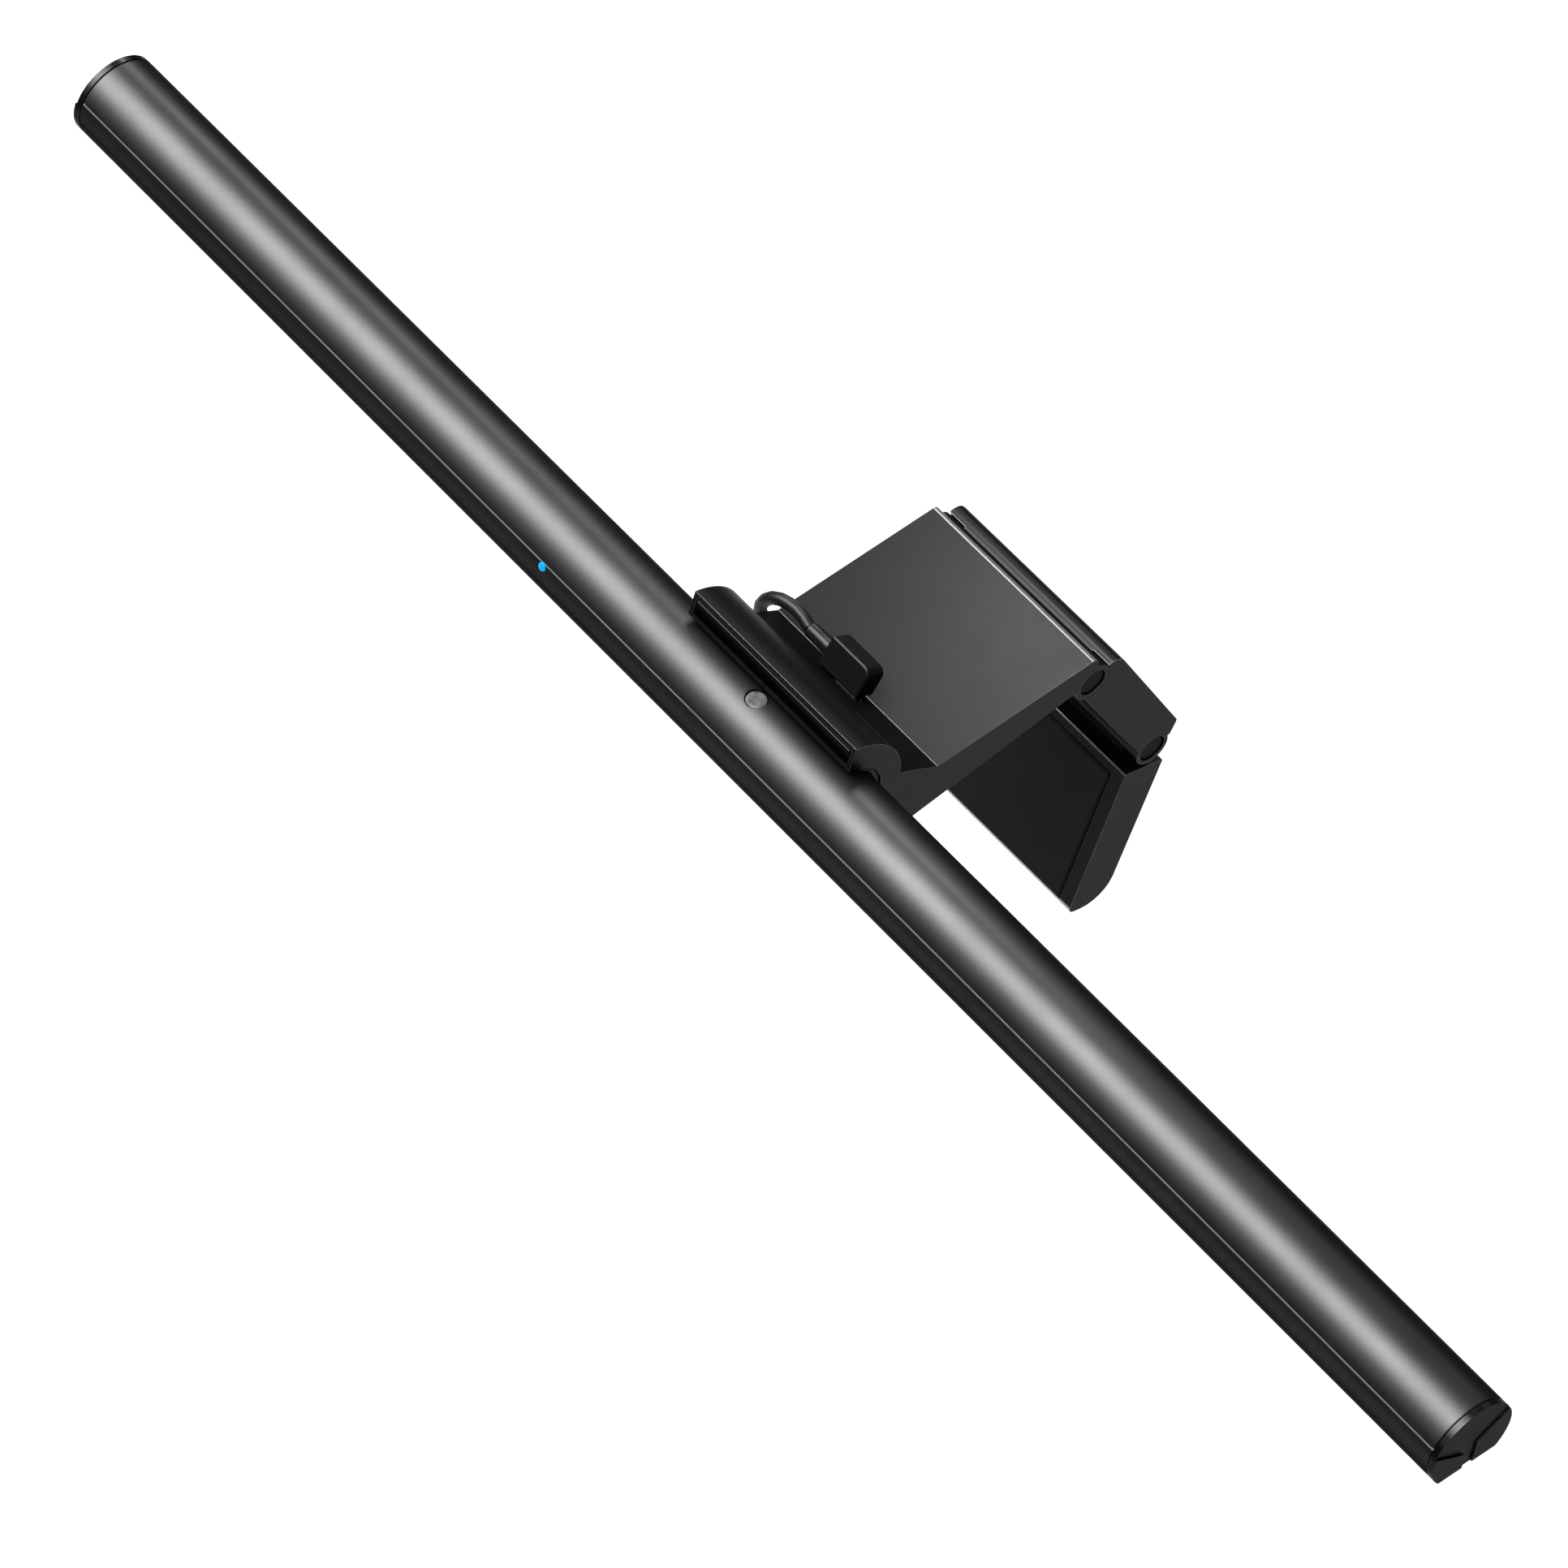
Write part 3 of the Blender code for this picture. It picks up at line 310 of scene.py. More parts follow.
class Finish:
    """A material being built: its nodes, its links and its Principled shader."""

    def __init__(self, name, colour, roughness, metallic=0.0, **settings):
        self.material = bpy.data.materials.new(name)
        self.material.use_nodes = True
        self.tree = self.material.node_tree
        self.shader = self.tree.nodes["Principled BSDF"]
        self.shader.inputs["Base Color"].default_value = (*colour, 1.0)
        self.shader.inputs["Roughness"].default_value = roughness
        self.shader.inputs["Metallic"].default_value = metallic
        for key, value in settings.items():
            self.shader.inputs[key.replace("_", " ")].default_value = value
        self.place = self.tree.nodes.new("ShaderNodeTexCoord").outputs["Object"]

    def node(self, kind, **settings):
        node = self.tree.nodes.new("ShaderNode" + kind)
        for key, value in settings.items():
            setattr(node, key, value)
        return node

    def link(self, source, target):
        self.tree.links.new(source, target)

    def stretched(self, scale):
        """The place on the piece, scaled apart along its axes."""
        mapping = self.node("Mapping")
        mapping.inputs["Scale"].default_value = scale
        self.link(self.place, mapping.inputs["Vector"])
        return mapping.outputs["Vector"]

    def noise(self, scale, detail=3.0, roughness=0.6, place=None):
        noise = self.node("TexNoise")
        noise.inputs["Scale"].default_value = scale
        noise.inputs["Detail"].default_value = detail
        noise.inputs["Roughness"].default_value = roughness
        self.link(place or self.place, noise.inputs["Vector"])
        return noise.outputs["Fac"]

    def span(self, source, low, high, start=0.3, stop=0.7):
        """The source's values from start to stop, spread over low to high."""
        span = self.node("MapRange")
        for key, value in (("From Min", start), ("From Max", stop), ("To Min", low), ("To Max", high)):
            span.inputs[key].default_value = value
        self.link(source, span.inputs["Value"])
        return span.outputs["Result"]

    def mixed(self, factor, first, second):
        """A colour between two, by a factor."""
        mix = self.node("Mix", data_type="RGBA")
        self.link(factor, mix.inputs["Factor"])
        for socket, colour in ((mix.inputs["A"], first), (mix.inputs["B"], second)):
            if isinstance(colour, bpy.types.NodeSocket):
                self.link(colour, socket)
            else:
                socket.default_value = (*colour, 1.0)
        return mix.outputs["Result"]

    def tone(self, source, dark, light, start=0.3, stop=0.7):
        """A colour that goes from dark to light as the source goes from start to stop."""
        return self.mixed(self.span(source, 0.0, 1.0, start, stop), dark, light)

    def math(self, operation, first, second):
        node = self.node("Math", operation=operation)
        for socket, value in zip(node.inputs, (first, second)):
            if isinstance(value, bpy.types.NodeSocket):
                self.link(value, socket)
            else:
                socket.default_value = value
        return node.outputs["Value"]

    def edges(self, radius=0.0003):
        """0 on flat faces and 1 along outward edges, where a coat wears and a rounded normal turns away;
        the lighter colour put there is rubbed wear and painted edge highlight at once.
        """
        round_off = self.node("Bevel", samples=4)
        round_off.inputs["Radius"].default_value = radius
        turn = self.node("VectorMath", operation="DOT_PRODUCT")
        self.link(round_off.outputs["Normal"], turn.inputs[0])
        self.link(self.node("NewGeometry").outputs["True Normal"], turn.inputs[1])
        near = self.span(turn.outputs["Value"], 1.0, 0.0, FULL_WEAR_AND_HIGHLIGHT, NO_WEAR_AND_HIGHLIGHT)
        outer = self.node("Attribute", attribute_name="outer_edge")
        return self.math("MULTIPLY", near, outer.outputs["Fac"])

    def colour(self, source):
        self.link(source, self.shader.inputs["Base Color"])

    def roughness(self, source):
        self.link(source, self.shader.inputs["Roughness"])

    def bump(self, source, strength, distance=0.0001, after=None):
        """Raises the surface by the source, on top of an earlier bump if there is one."""
        bump = self.node("Bump")
        bump.inputs["Strength"].default_value = strength
        bump.inputs["Distance"].default_value = distance
        self.link(source, bump.inputs["Height"])
        if after is not None:
            self.link(after, bump.inputs["Normal"])
        self.link(bump.outputs["Normal"], self.shader.inputs["Normal"])
        return bump.outputs["Normal"]


def anodised(name, dark, light, rough):
    """Blasted and anodised aluminium: a fine even grain, a slow drift in tone and faint extrusion lines."""
    made = Finish(name, dark, rough, metallic=1.0, Specular_Tint=(0.25, 0.25, 0.25, 1.0))
    made.colour(made.tone(made.noise(26.0, detail=4.0), dark, light))
    grain = made.noise(7200.0, detail=2.0, roughness=0.5)
    lines = made.noise(900.0, detail=2.0, roughness=0.5, place=made.stretched((0.004, 1.0, 1.0)))
    smudge = made.noise(75.0, detail=5.0, roughness=0.65)
    even = made.span(grain, rough - 0.03, rough + 0.03)
    made.roughness(made.math("ADD", even, made.span(smudge, -0.015, 0.02)))
    blasted = made.bump(grain, strength=0.12, distance=0.00002)
    made.bump(lines, strength=0.05, distance=0.00002, after=blasted)


def coated(name, dark, light, rough, worn_and_highlit):
    """A metal shell with a fine black coat: faint mottling, a soft grain, and edges rubbed lighter, which
    also paints a bright highlight along them.
    """
    made = Finish(name, dark, rough, metallic=0.88, Specular_Tint=(0.45, 0.45, 0.45, 1.0))
    body = made.tone(made.noise(38.0, detail=4.0), dark, light)
    # the lighter edge colour is rubbed wear and painted edge highlight at once
    made.colour(made.mixed(made.edges(), body, worn_and_highlit))
    grain = made.noise(4200.0, detail=2.0, roughness=0.5)
    smudge = made.noise(90.0, detail=5.0, roughness=0.7)
    even = made.span(grain, rough - 0.03, rough + 0.03)
    made.roughness(made.math("ADD", even, made.span(smudge, -0.01, 0.02)))
    made.bump(grain, strength=0.12, distance=0.00003)


def glossy(name, dark, light, rough):
    """Polished black plastic: hairline scuffs, a few faint smudges, and a painted highlight along its
    edges.
    """
    made = Finish(name, dark, rough, metallic=1.0, Specular_Tint=(0.45, 0.45, 0.45, 1.0))
    body = made.tone(made.noise(55.0), dark, light)
    # the pale grey mixed in along the edges is painted edge highlight
    made.colour(made.mixed(made.edges(radius=0.0002), body, (0.10, 0.10, 0.10)))
    scuffs = made.noise(420.0, roughness=0.7, place=made.stretched((0.03, 1.0, 1.0)))
    made.roughness(made.span(scuffs, rough - 0.04, rough + 0.10, start=0.35, stop=0.75))
    made.bump(made.noise(160.0, detail=2.0), strength=0.05)


def metal(name, dark, light, rough, along=(0.02, 1.0, 1.0), depth=0.12):
    """Bright metal with fine lines from its drawing or turning."""
    made = Finish(name, light, rough, metallic=1.0)
    lines = made.noise(2600.0, roughness=0.65, place=made.stretched(along))
    made.colour(made.tone(lines, dark, light))
    made.roughness(made.span(made.noise(300.0, detail=4.0), rough - 0.06, rough + 0.08))
    made.bump(lines, strength=depth, distance=0.00002)


def rubber(name, dark, light, rough):
    """Soft black rubber with a fine pebble and a dusty drift."""
    made = Finish(name, dark, rough, Specular_IOR_Level=0.18)
    cells = made.node("TexVoronoi")
    cells.inputs["Scale"].default_value = 2400.0
    made.link(made.place, cells.inputs["Vector"])
    dust = made.noise(70.0, detail=5.0, roughness=0.7)
    made.colour(made.tone(dust, dark, light, start=0.4, stop=0.8))
    made.roughness(made.span(dust, rough - 0.05, rough + 0.08))
    made.bump(cells.outputs["Distance"], strength=0.35, distance=0.00005)


def opal(name):
    """The milky strip that spreads the light: pale, with a fine frosted face."""
    made = Finish(
        name, (0.86, 0.86, 0.83), 0.42, Subsurface_Weight=0.25, Subsurface_Scale=0.003, Coat_Weight=0.15
    )
    frost = made.noise(5200.0, detail=2.0)
    made.colour(made.tone(made.noise(30.0), (0.84, 0.84, 0.81), (0.90, 0.90, 0.88)))
    made.roughness(made.span(frost, 0.36, 0.48))
    made.bump(frost, strength=0.15, distance=0.00003)


def board(name):
    """Green solder mask with faint copper tracks under it."""
    made = Finish(name, (0.01, 0.07, 0.03), 0.35, Coat_Weight=0.4, Coat_Roughness=0.15)
    tracks = made.node("TexBrick", offset=0.5)
    tracks.inputs["Scale"].default_value = 420.0
    tracks.inputs["Mortar Size"].default_value = 0.03
    made.link(made.place, tracks.inputs["Vector"])
    made.colour(made.mixed(tracks.outputs["Fac"], (0.012, 0.085, 0.035), (0.03, 0.16, 0.06)))
    made.roughness(made.span(made.noise(260.0), 0.28, 0.42))


def smoked(name):
    """The sensor's window: a milky smoked face, with a paler cloud under its clear surface."""
    made = Finish(name, (0.1, 0.1, 0.105), 0.30, Specular_IOR_Level=0.25)
    cloud = made.noise(520.0, roughness=0.5)
    made.colour(made.tone(cloud, (0.030, 0.030, 0.031), (0.095, 0.095, 0.097), start=0.38, stop=0.62))
    made.roughness(made.span(made.noise(900.0), 0.24, 0.36))


def glowing(name):
    """The indicator: a blue light pipe that glows evenly, with a fine fleck in its body."""
    made = Finish(name, (0.002, 0.05, 0.16), 0.45, Emission_Strength=1.0, Specular_IOR_Level=0.15)
    made.shader.inputs["Emission Color"].default_value = (0.0003, 0.34, 0.62, 1.0)
    fleck = made.noise(1500.0, detail=2.0)
    made.colour(made.tone(fleck, (0.002, 0.04, 0.14), (0.003, 0.07, 0.20)))
    made.roughness(made.span(fleck, 0.4, 0.5))


def jacket(name, dark, light, rough):
    """The cord's soft jacket: a satin skin with a fine grain and a slow drift in tone."""
    made = Finish(name, dark, rough, Specular_IOR_Level=0.25)
    made.colour(made.tone(made.noise(120.0, detail=4.0), dark, light))
    grain = made.noise(3400.0, detail=2.0)
    made.roughness(made.span(grain, rough - 0.03, rough + 0.04))
    made.bump(grain, strength=0.04, distance=0.00002)


def woven(name):
    """The tie's strap: a fine over-and-under weave with a soft pile."""
    made = Finish(name, (0.014, 0.014, 0.014), 0.9, Sheen_Weight=0.1, Sheen_Roughness=0.6)
    weave = made.node("TexChecker")
    weave.inputs["Scale"].default_value = 1900.0
    made.link(made.place, weave.inputs["Vector"])
    pile = made.noise(5200.0, roughness=0.7)
    made.colour(made.tone(pile, (0.010, 0.010, 0.010), (0.035, 0.035, 0.036)))
    made.roughness(made.span(pile, 0.82, 0.98))
    made.bump(weave.outputs["Fac"], strength=0.5, after=made.bump(pile, strength=0.5))


def make_materials():
    """Every finish by name, with its dark and light tones where it has them."""
    anodised("anodised_tube", (0.0485, 0.0485, 0.0488), (0.0565, 0.0565, 0.0568), rough=0.40)
    metal("cut_edge", (0.020, 0.020, 0.0205), (0.024, 0.024, 0.0245), rough=0.30, depth=0.02)
    # a bright metal that paints highlights onto chosen rounded edges
    metal("painted_highlight_metal", (0.26, 0.26, 0.265), (0.31, 0.31, 0.315), rough=0.34, depth=0.03)
    shell = ((0.0195, 0.0195, 0.0202), (0.0215, 0.0215, 0.0222))
    # each coat's worn colour lightens its outward edges: rubbed wear, and a painted edge highlight too
    coated("shell_coat", *shell, rough=0.32, worn_and_highlit=(0.16, 0.16, 0.165))
    cover = ((0.013, 0.013, 0.0135), (0.016, 0.016, 0.0165))
    coated("cover_coat", *cover, rough=0.42, worn_and_highlit=(0.06, 0.06, 0.062))
    glossy("gloss_black", (0.012, 0.012, 0.0125), (0.016, 0.016, 0.0165), rough=0.14)
    glossy("cap_ring", (0.026, 0.026, 0.0262), (0.031, 0.031, 0.0312), rough=0.28)
    cap = ((0.0035, 0.0035, 0.0036), (0.0045, 0.0045, 0.0046))
    coated("cap_face", *cap, rough=0.34, worn_and_highlit=(0.03, 0.03, 0.03))
    opal("opal_strip")
    board("board_green")
    metal("bare_aluminium", (0.55, 0.56, 0.57), (0.74, 0.75, 0.76), rough=0.34)
    metal("drawn_steel", (0.46, 0.46, 0.47), (0.64, 0.64, 0.65), rough=0.26)
    plated = {"along": (1.0, 1.0, 1.0), "depth": 0.05}
    metal("nickel_coat", (0.56, 0.55, 0.52), (0.70, 0.69, 0.66), rough=0.22, **plated)
    metal("gold_coat", (0.78, 0.55, 0.22), (0.94, 0.72, 0.36), rough=0.24, **plated)
    smoked("smoked_window")
    glowing("blue_glow")
    rubber("pad_rubber", (0.0025, 0.0025, 0.0025), (0.0055, 0.0055, 0.0055), rough=0.66)
    jacket("cord_jacket", (0.0035, 0.0035, 0.0037), (0.005, 0.005, 0.0052), rough=0.34)
    jacket("plug_skin", (0.0028, 0.0028, 0.003), (0.004, 0.004, 0.0042), rough=0.28)
    # steel darkened as painted shade, for the plug's nose in its socket's shadow
    metal("steel_painted_shade", (0.05, 0.05, 0.05), (0.08, 0.08, 0.08), rough=0.35)
    woven("strap_weave")


# ---------------------------------------------------------------- light bar


def bar_section():
    """The tube's section about its axis, with the trim cut into it as two small steps."""
    flat_edge = math.degrees(math.asin(FLAT_DEPTH / TUBE_RADIUS))
    trim_end = TRIM_ANGLE + TRIM_STEPS[-1][0]
    outline = arc(TUBE_RADIUS, -flat_edge + FLAT_CORNER_TURN, TRIM_ANGLE + TRIM_START, steps=84)
    outline += [polar(TUBE_RADIUS - depth, TRIM_ANGLE + past) for past, depth in TRIM_STEPS]
    outline += arc(TUBE_RADIUS, trim_end, 180 + flat_edge - FLAT_CORNER_TURN, steps=30)[1:]
    flat_half = polar(TUBE_RADIUS, flat_edge)[0] - FLAT_CORNER
    slot_top = -FLAT_DEPTH + TUBE_WALL
    near_side = [(-flat_half, -FLAT_DEPTH), (-SLOT_HALF - SLOT_EDGE, -FLAT_DEPTH)]
    near_side += [(-SLOT_HALF, -FLAT_DEPTH + SLOT_EDGE), (-SLOT_HALF, slot_top)]
    far_side = [(-y, z) for y, z in reversed(near_side)]
    inner = TUBE_RADIUS - TUBE_WALL
    inner_edge = math.degrees(math.asin(-slot_top / inner))
    return outline + near_side + arc(inner, 180 + inner_edge, -inner_edge, steps=48) + far_side


def round_hole(name, radius, place):
    """The tool that cuts a round hole along a radius of the bar."""
    inner, outer = HOLE_CUT
    profile = [(0, inner), (radius, inner), (radius, outer), (0, outer)]
    return turned(name, profile, radial_matrix(*place))


def round_normals(obj, radius, margin):
    """Lets faces that lie on the tube shade as one true cylinder, whatever holes cut them."""
    mesh = obj.data
    normals = [Vector(corner.vector) for corner in mesh.corner_normals]
    for face in mesh.polygons:
        middle = Vector((0, face.center.y, face.center.z))
        if abs(middle.length - radius) > margin or abs(face.normal.x) > LENGTHWISE:
            continue
        if face.normal.dot(middle.normalized()) < ON_TUBE:
            continue
        for index in face.loop_indices:
            place = mesh.vertices[mesh.loops[index].vertex_index].co
            normals[index] = Vector((0, place.y, place.z)).normalized()
    mesh.normals_split_custom_set(normals)


def break_tube_ends(tube):
    """Draws the outer rim of each end in a little."""
    shrink = 1 - END_DROP / TUBE_RADIUS
    for vertex in tube.data.vertices:
        at_end = abs(abs(vertex.co.x) - TUBE_HALF) < WELD / 2
        if at_end and math.hypot(vertex.co.y, vertex.co.z) > TUBE_RADIUS - TUBE_SKIN:
            vertex.co.y *= shrink
            vertex.co.z *= shrink


def colour_trim(tube):
    """Gives the tube its finish, and the trim's small steps their own."""
    mesh = tube.data
    mesh.materials.clear()
    for finish in ("anodised_tube", "cut_edge"):
        mesh.materials.append(bpy.data.materials[finish])
    low, high = (math.radians(TRIM_ANGLE + TRIM_STEPS[end][0]) for end in (0, -1))
    deepest = TUBE_RADIUS - TRIM_STEPS[0][1]
    for face in mesh.polygons:
        middle = face.center
        flank = abs(face.normal.x) < LENGTHWISE and low < math.atan2(middle.z, middle.y) < high
        radius = math.hypot(middle.y, middle.z)
        face.material_index = int(flank and deepest < radius < TUBE_RADIUS - TRIM_SHALLOWEST)


def bar_housing():
    """The tube, made in the bar's own frame, with rings of points that part its holes from its ends."""
    rings = [x + side * room for x, room in HOLE_ROOM for side in (-1, 1)]
    ends = [side * (TUBE_HALF - back) for side in (-1, 1) for back in (0, END_RUN)]
    tube = prism("fine_bar_housing", bar_section(), sorted(rings + ends))
    break_tube_ends(tube)
    start, end = CONTACT_WINDOW_TURN
    inner, outer = CONTACT_WINDOW_CUT
    outline = arc(inner, start, end, steps=6) + arc(outer, end, start, steps=6)
    cut(
        tube,
        prism("contact_window", outline, [-CONTACT_WINDOW_HALF, CONTACT_WINDOW_HALF]),
        round_hole("indicator_hole", INDICATOR_HOLE, INDICATOR_PLACE),
        round_hole("sensor_hole", SENSOR_HOLE, SENSOR_PLACE),
    )
    colour_trim(tube)
    finish_piece(tube, "bar_housing", None, degrees=25)
    round_normals(tube, TUBE_RADIUS, margin=0.0001)
    tube.matrix_world = bar_matrix() @ tube.matrix_world


def bar_lens(node, finish, place, radius, foot, shoulder, sides, step):
    """A lens that stands along a radius of the bar, from its foot to a domed face above its shoulder."""
    angles = [math.radians(degrees) for degrees in range(0, 90, step)]
    dome = [(radius * math.cos(angle), shoulder + LENS_CROWN * math.sin(angle)) for angle in angles]
    profile = [(0, foot), (radius, foot), *dome, (0, shoulder + LENS_CROWN)]
    lens = turned("fine_" + node, profile, bar_matrix() @ radial_matrix(*place), sides)
    finish_piece(lens, node, finish, degrees=50, flat_faces=False)


def bar_lenses():
    """The round sensor window on top of the tube, and the small indicator below its trim line."""
    bar_lens(
        "sensor_window",
        "smoked_window",
        SENSOR_PLACE,
        SENSOR_RADIUS,
        foot=0.0094,
        shoulder=0.0117,
        sides=64,
        step=9,
    )
    bar_lens(
        "indicator_lens",
        "blue_glow",
        INDICATOR_PLACE,
        INDICATOR_RADIUS,
        foot=0.0082,
        shoulder=0.0119,
        sides=40,
        step=10,
    )


def end_caps():
    """The caps keep a glossy ring; the face inside it is satin."""
    for node in ("end_cap_left", "end_cap_right"):
        cap = fine_copy(node, "cap_ring", width=0.00012, segments=2, degrees=28)
        cap.data.materials.append(bpy.data.materials["cap_face"])
        low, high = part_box(node)
        side = 1 if high.x > 0 else -1
        end = high.x if side > 0 else low.x
        for face in cap.data.polygons:
            if side * face.normal.x > CAP_OUTWARD and abs(face.center.x - end) < CAP_FACE_DEPTH:
                face.material_index = 1


# ---------------------------------------------------------------- clamp


def paint_edge_highlight(obj, line, reach, turns):
    """Paints a highlight onto a rounded edge, as a bright bare metal finish on some of its faces.

    It takes the faces this near a line along X whose normals lie between these two turns, in degrees
    from +Y to +Z.
    """
    if "painted_highlight_metal" not in obj.data.materials:
        obj.data.materials.append(bpy.data.materials["painted_highlight_metal"])
    low, high = turns
    for face in obj.data.polygons:
        near = math.hypot(face.center.y - line[0], face.center.z - line[1]) < reach
        turn = math.degrees(math.atan2(face.normal.z, face.normal.y)) % 360
        if near and abs(face.normal.x) < NEARLY_LENGTHWISE and low < turn < high:
            face.material_index = 1


def clamp():
    """The arm with its saddle, the link and the flap, with the covers, screws, pads and caps on them."""
    arm = fine_copy("arm_shell", "shell_coat", width=0.00015, segments=2)
    # painted highlights on the arm's rear edge, the saddle's lip and the facet's foot
    paint_edge_highlight(arm, REAR_EDGE, reach=0.0022, turns=(15, 80))
    paint_edge_highlight(arm, SADDLE_LIP, reach=0.0004, turns=(90, 140))
    paint_edge_highlight(arm, FACET_FOOT, reach=0.0004, turns=(52, 76))
    fine_copy("saddle_front_strip", "gloss_black", width=0.0001, segments=2)
    fine_copy("arm_under_cover", "cover_coat")
    fine_copy("monitor_rest_pad", "pad_rubber")
    fine_copy("hook_pad", "pad_rubber")
    for number in (1, 2):
        fine_copy(f"cover_screw_{number}", "drawn_steel", width=0.0001, segments=2)
    for side in ("left", "right"):
        fine_copy(f"top_pin_cap_{side}", "cap_face")
        fine_copy(f"low_pin_cap_{side}", "cap_face")
    fine_copy("link_shell", "shell_coat", width=0.00015, segments=2)
    fine_copy("link_cover", "cover_coat")
    flap = fine_copy("flap_shell", "shell_coat", width=0.00015, segments=2)
    # painted highlights on the flap's lower front edge and its top edge
    paint_edge_highlight(flap, FLAP_EDGE, reach=0.0032, turns=(150, 210))
    paint_edge_highlight(flap, FLAP_TOP_EDGE, reach=0.0006, turns=(112, 150))
    fine_copy("flap_pad", "pad_rubber", width=0.0003)


# ---------------------------------------------------------------- cord


def plug_body():
    """The plug in the clamp's socket: a slim block, well rounded at its top far corner."""
    corners = (  # along the seat, above it, radius, and where the corner's arc starts in degrees
        (PLUG_FAR, PLUG_TOP, 0.0024, 90),
        (PLUG_FAR, PLUG_FOOT, 0.0010, 180),
        (PLUG_NEAR, PLUG_FOOT, 0.0006, 270),
        (PLUG_NEAR, PLUG_TOP, 0.0006, 0),
    )
    outline = []
    for end, level, radius, start in corners:
        rise = radius if level == PLUG_FOOT else -radius
        center = (end + math.copysign(radius, -end), level + rise)
        outline += arc(radius, start, start + 90, steps=6, center=center)
    body = prism("fine_usb_c_plug_body", outline, [-PLUG_HALF_DEPTH, PLUG_HALF_DEPTH])
    body.data.transform(seat_matrix() @ Matrix.Rotation(math.pi / 2, 4, "Z"))
    soften(body, width=0.0008, segments=5, degrees=50)
    finish_piece(body, "usb_c_plug_body", "plug_skin", degrees=50)


def plugs_and_tie():
    """What is on the cord: its two plugs, its strain relief and the tie round its hank."""
    plug_body()
    # the plug's steel nose is darkened as painted shade, where it sits in shadow
    fine_copy("usb_c_plug_nose", "steel_painted_shade", width=0.00005, segments=1)
    fine_copy("usb_c_strain_relief", "plug_skin", flat_faces=False)
    fine_copy("usb_a_plug_body", "plug_skin", width=0.0003)
    fine_copy("usb_a_plug_shell", "drawn_steel", width=0.00008, segments=1)
    fine_copy("cord_tie", "strap_weave")


def smooth_route(points, spacing, steps=24):
    """Points along a Catmull-Rom curve through the given ones, about this far apart."""
    points = [Vector(p) for p in points]
    padded = [2 * points[0] - points[1], *points, 2 * points[-1] - points[-2]]
    dense = []
    for i in range(1, len(padded) - 2):
        a, b, c, d = padded[i - 1 : i + 3]
        for step in range(steps):
            t = step / steps
            curve = 2 * b + (c - a) * t
            curve += (2 * a - 5 * b + 4 * c - d) * t**2 + (3 * b - a - 3 * c + d) * t**3
            dense.append(0.5 * curve)
    dense.append(points[-1])
    lengths = [0.0]
    for first, second in zip(dense, dense[1:]):
        lengths.append(lengths[-1] + (second - first).length)
    count = max(2, round(lengths[-1] / spacing))
    route = []
    index = 0
    for i in range(count + 1):
        target = lengths[-1] * i / count
        while index < len(dense) - 2 and lengths[index + 1] < target:
            index += 1
        span = lengths[index + 1] - lengths[index]
        share = (target - lengths[index]) / span if span else 0.0
        route.append(dense[index].lerp(dense[index + 1], share))
    return route


def loose_points():
    """Where the cord leaves its plug, crosses the clamp's left side and goes down behind the monitor."""
    return [
        seat_matrix() @ Vector((STRAIN_END - CORD_GAP, 0, CORD_HEIGHT)),
        Vector((-0.0225, -0.0157, 0.0207)),
        Vector((-0.0268, -0.0160, 0.0206)),
        Vector((-0.0307, -0.0169, 0.0194)),
        Vector((-0.0335, -0.0183, 0.0164)),
        Vector((-0.0345, -0.0192, 0.0125)),
        Vector((-0.0341, -0.0187, 0.0085)),
        Vector((-0.0332, -0.0160, 0.0050)),
        Vector((-0.0326, -0.0106, 0.0028)),
        Vector((-0.0324, -0.0030, 0.0021)),
        Vector((-0.0324, 0.0070, 0.0020)),
        Vector((-0.0324, 0.0170, 0.0020)),
        Vector((-0.0324, 0.0245, 0.0013)),
        Vector((-0.0325, 0.0310, -0.0016)),
        Vector((-0.0329, 0.0358, -0.0065)),
        Vector((-0.0338, 0.0388, -0.0125)),
        Vector((-0.0352, 0.0411, -0.0190)),
        Vector((-0.0361, 0.0432, -0.0250)),
        Vector((-0.0361, 0.0452, -0.0305)),
        link_place((HANK_PLACE[0] + 0.0053, HANK_PLACE[1] + HANK_RADII[0], -0.0374)),
    ]


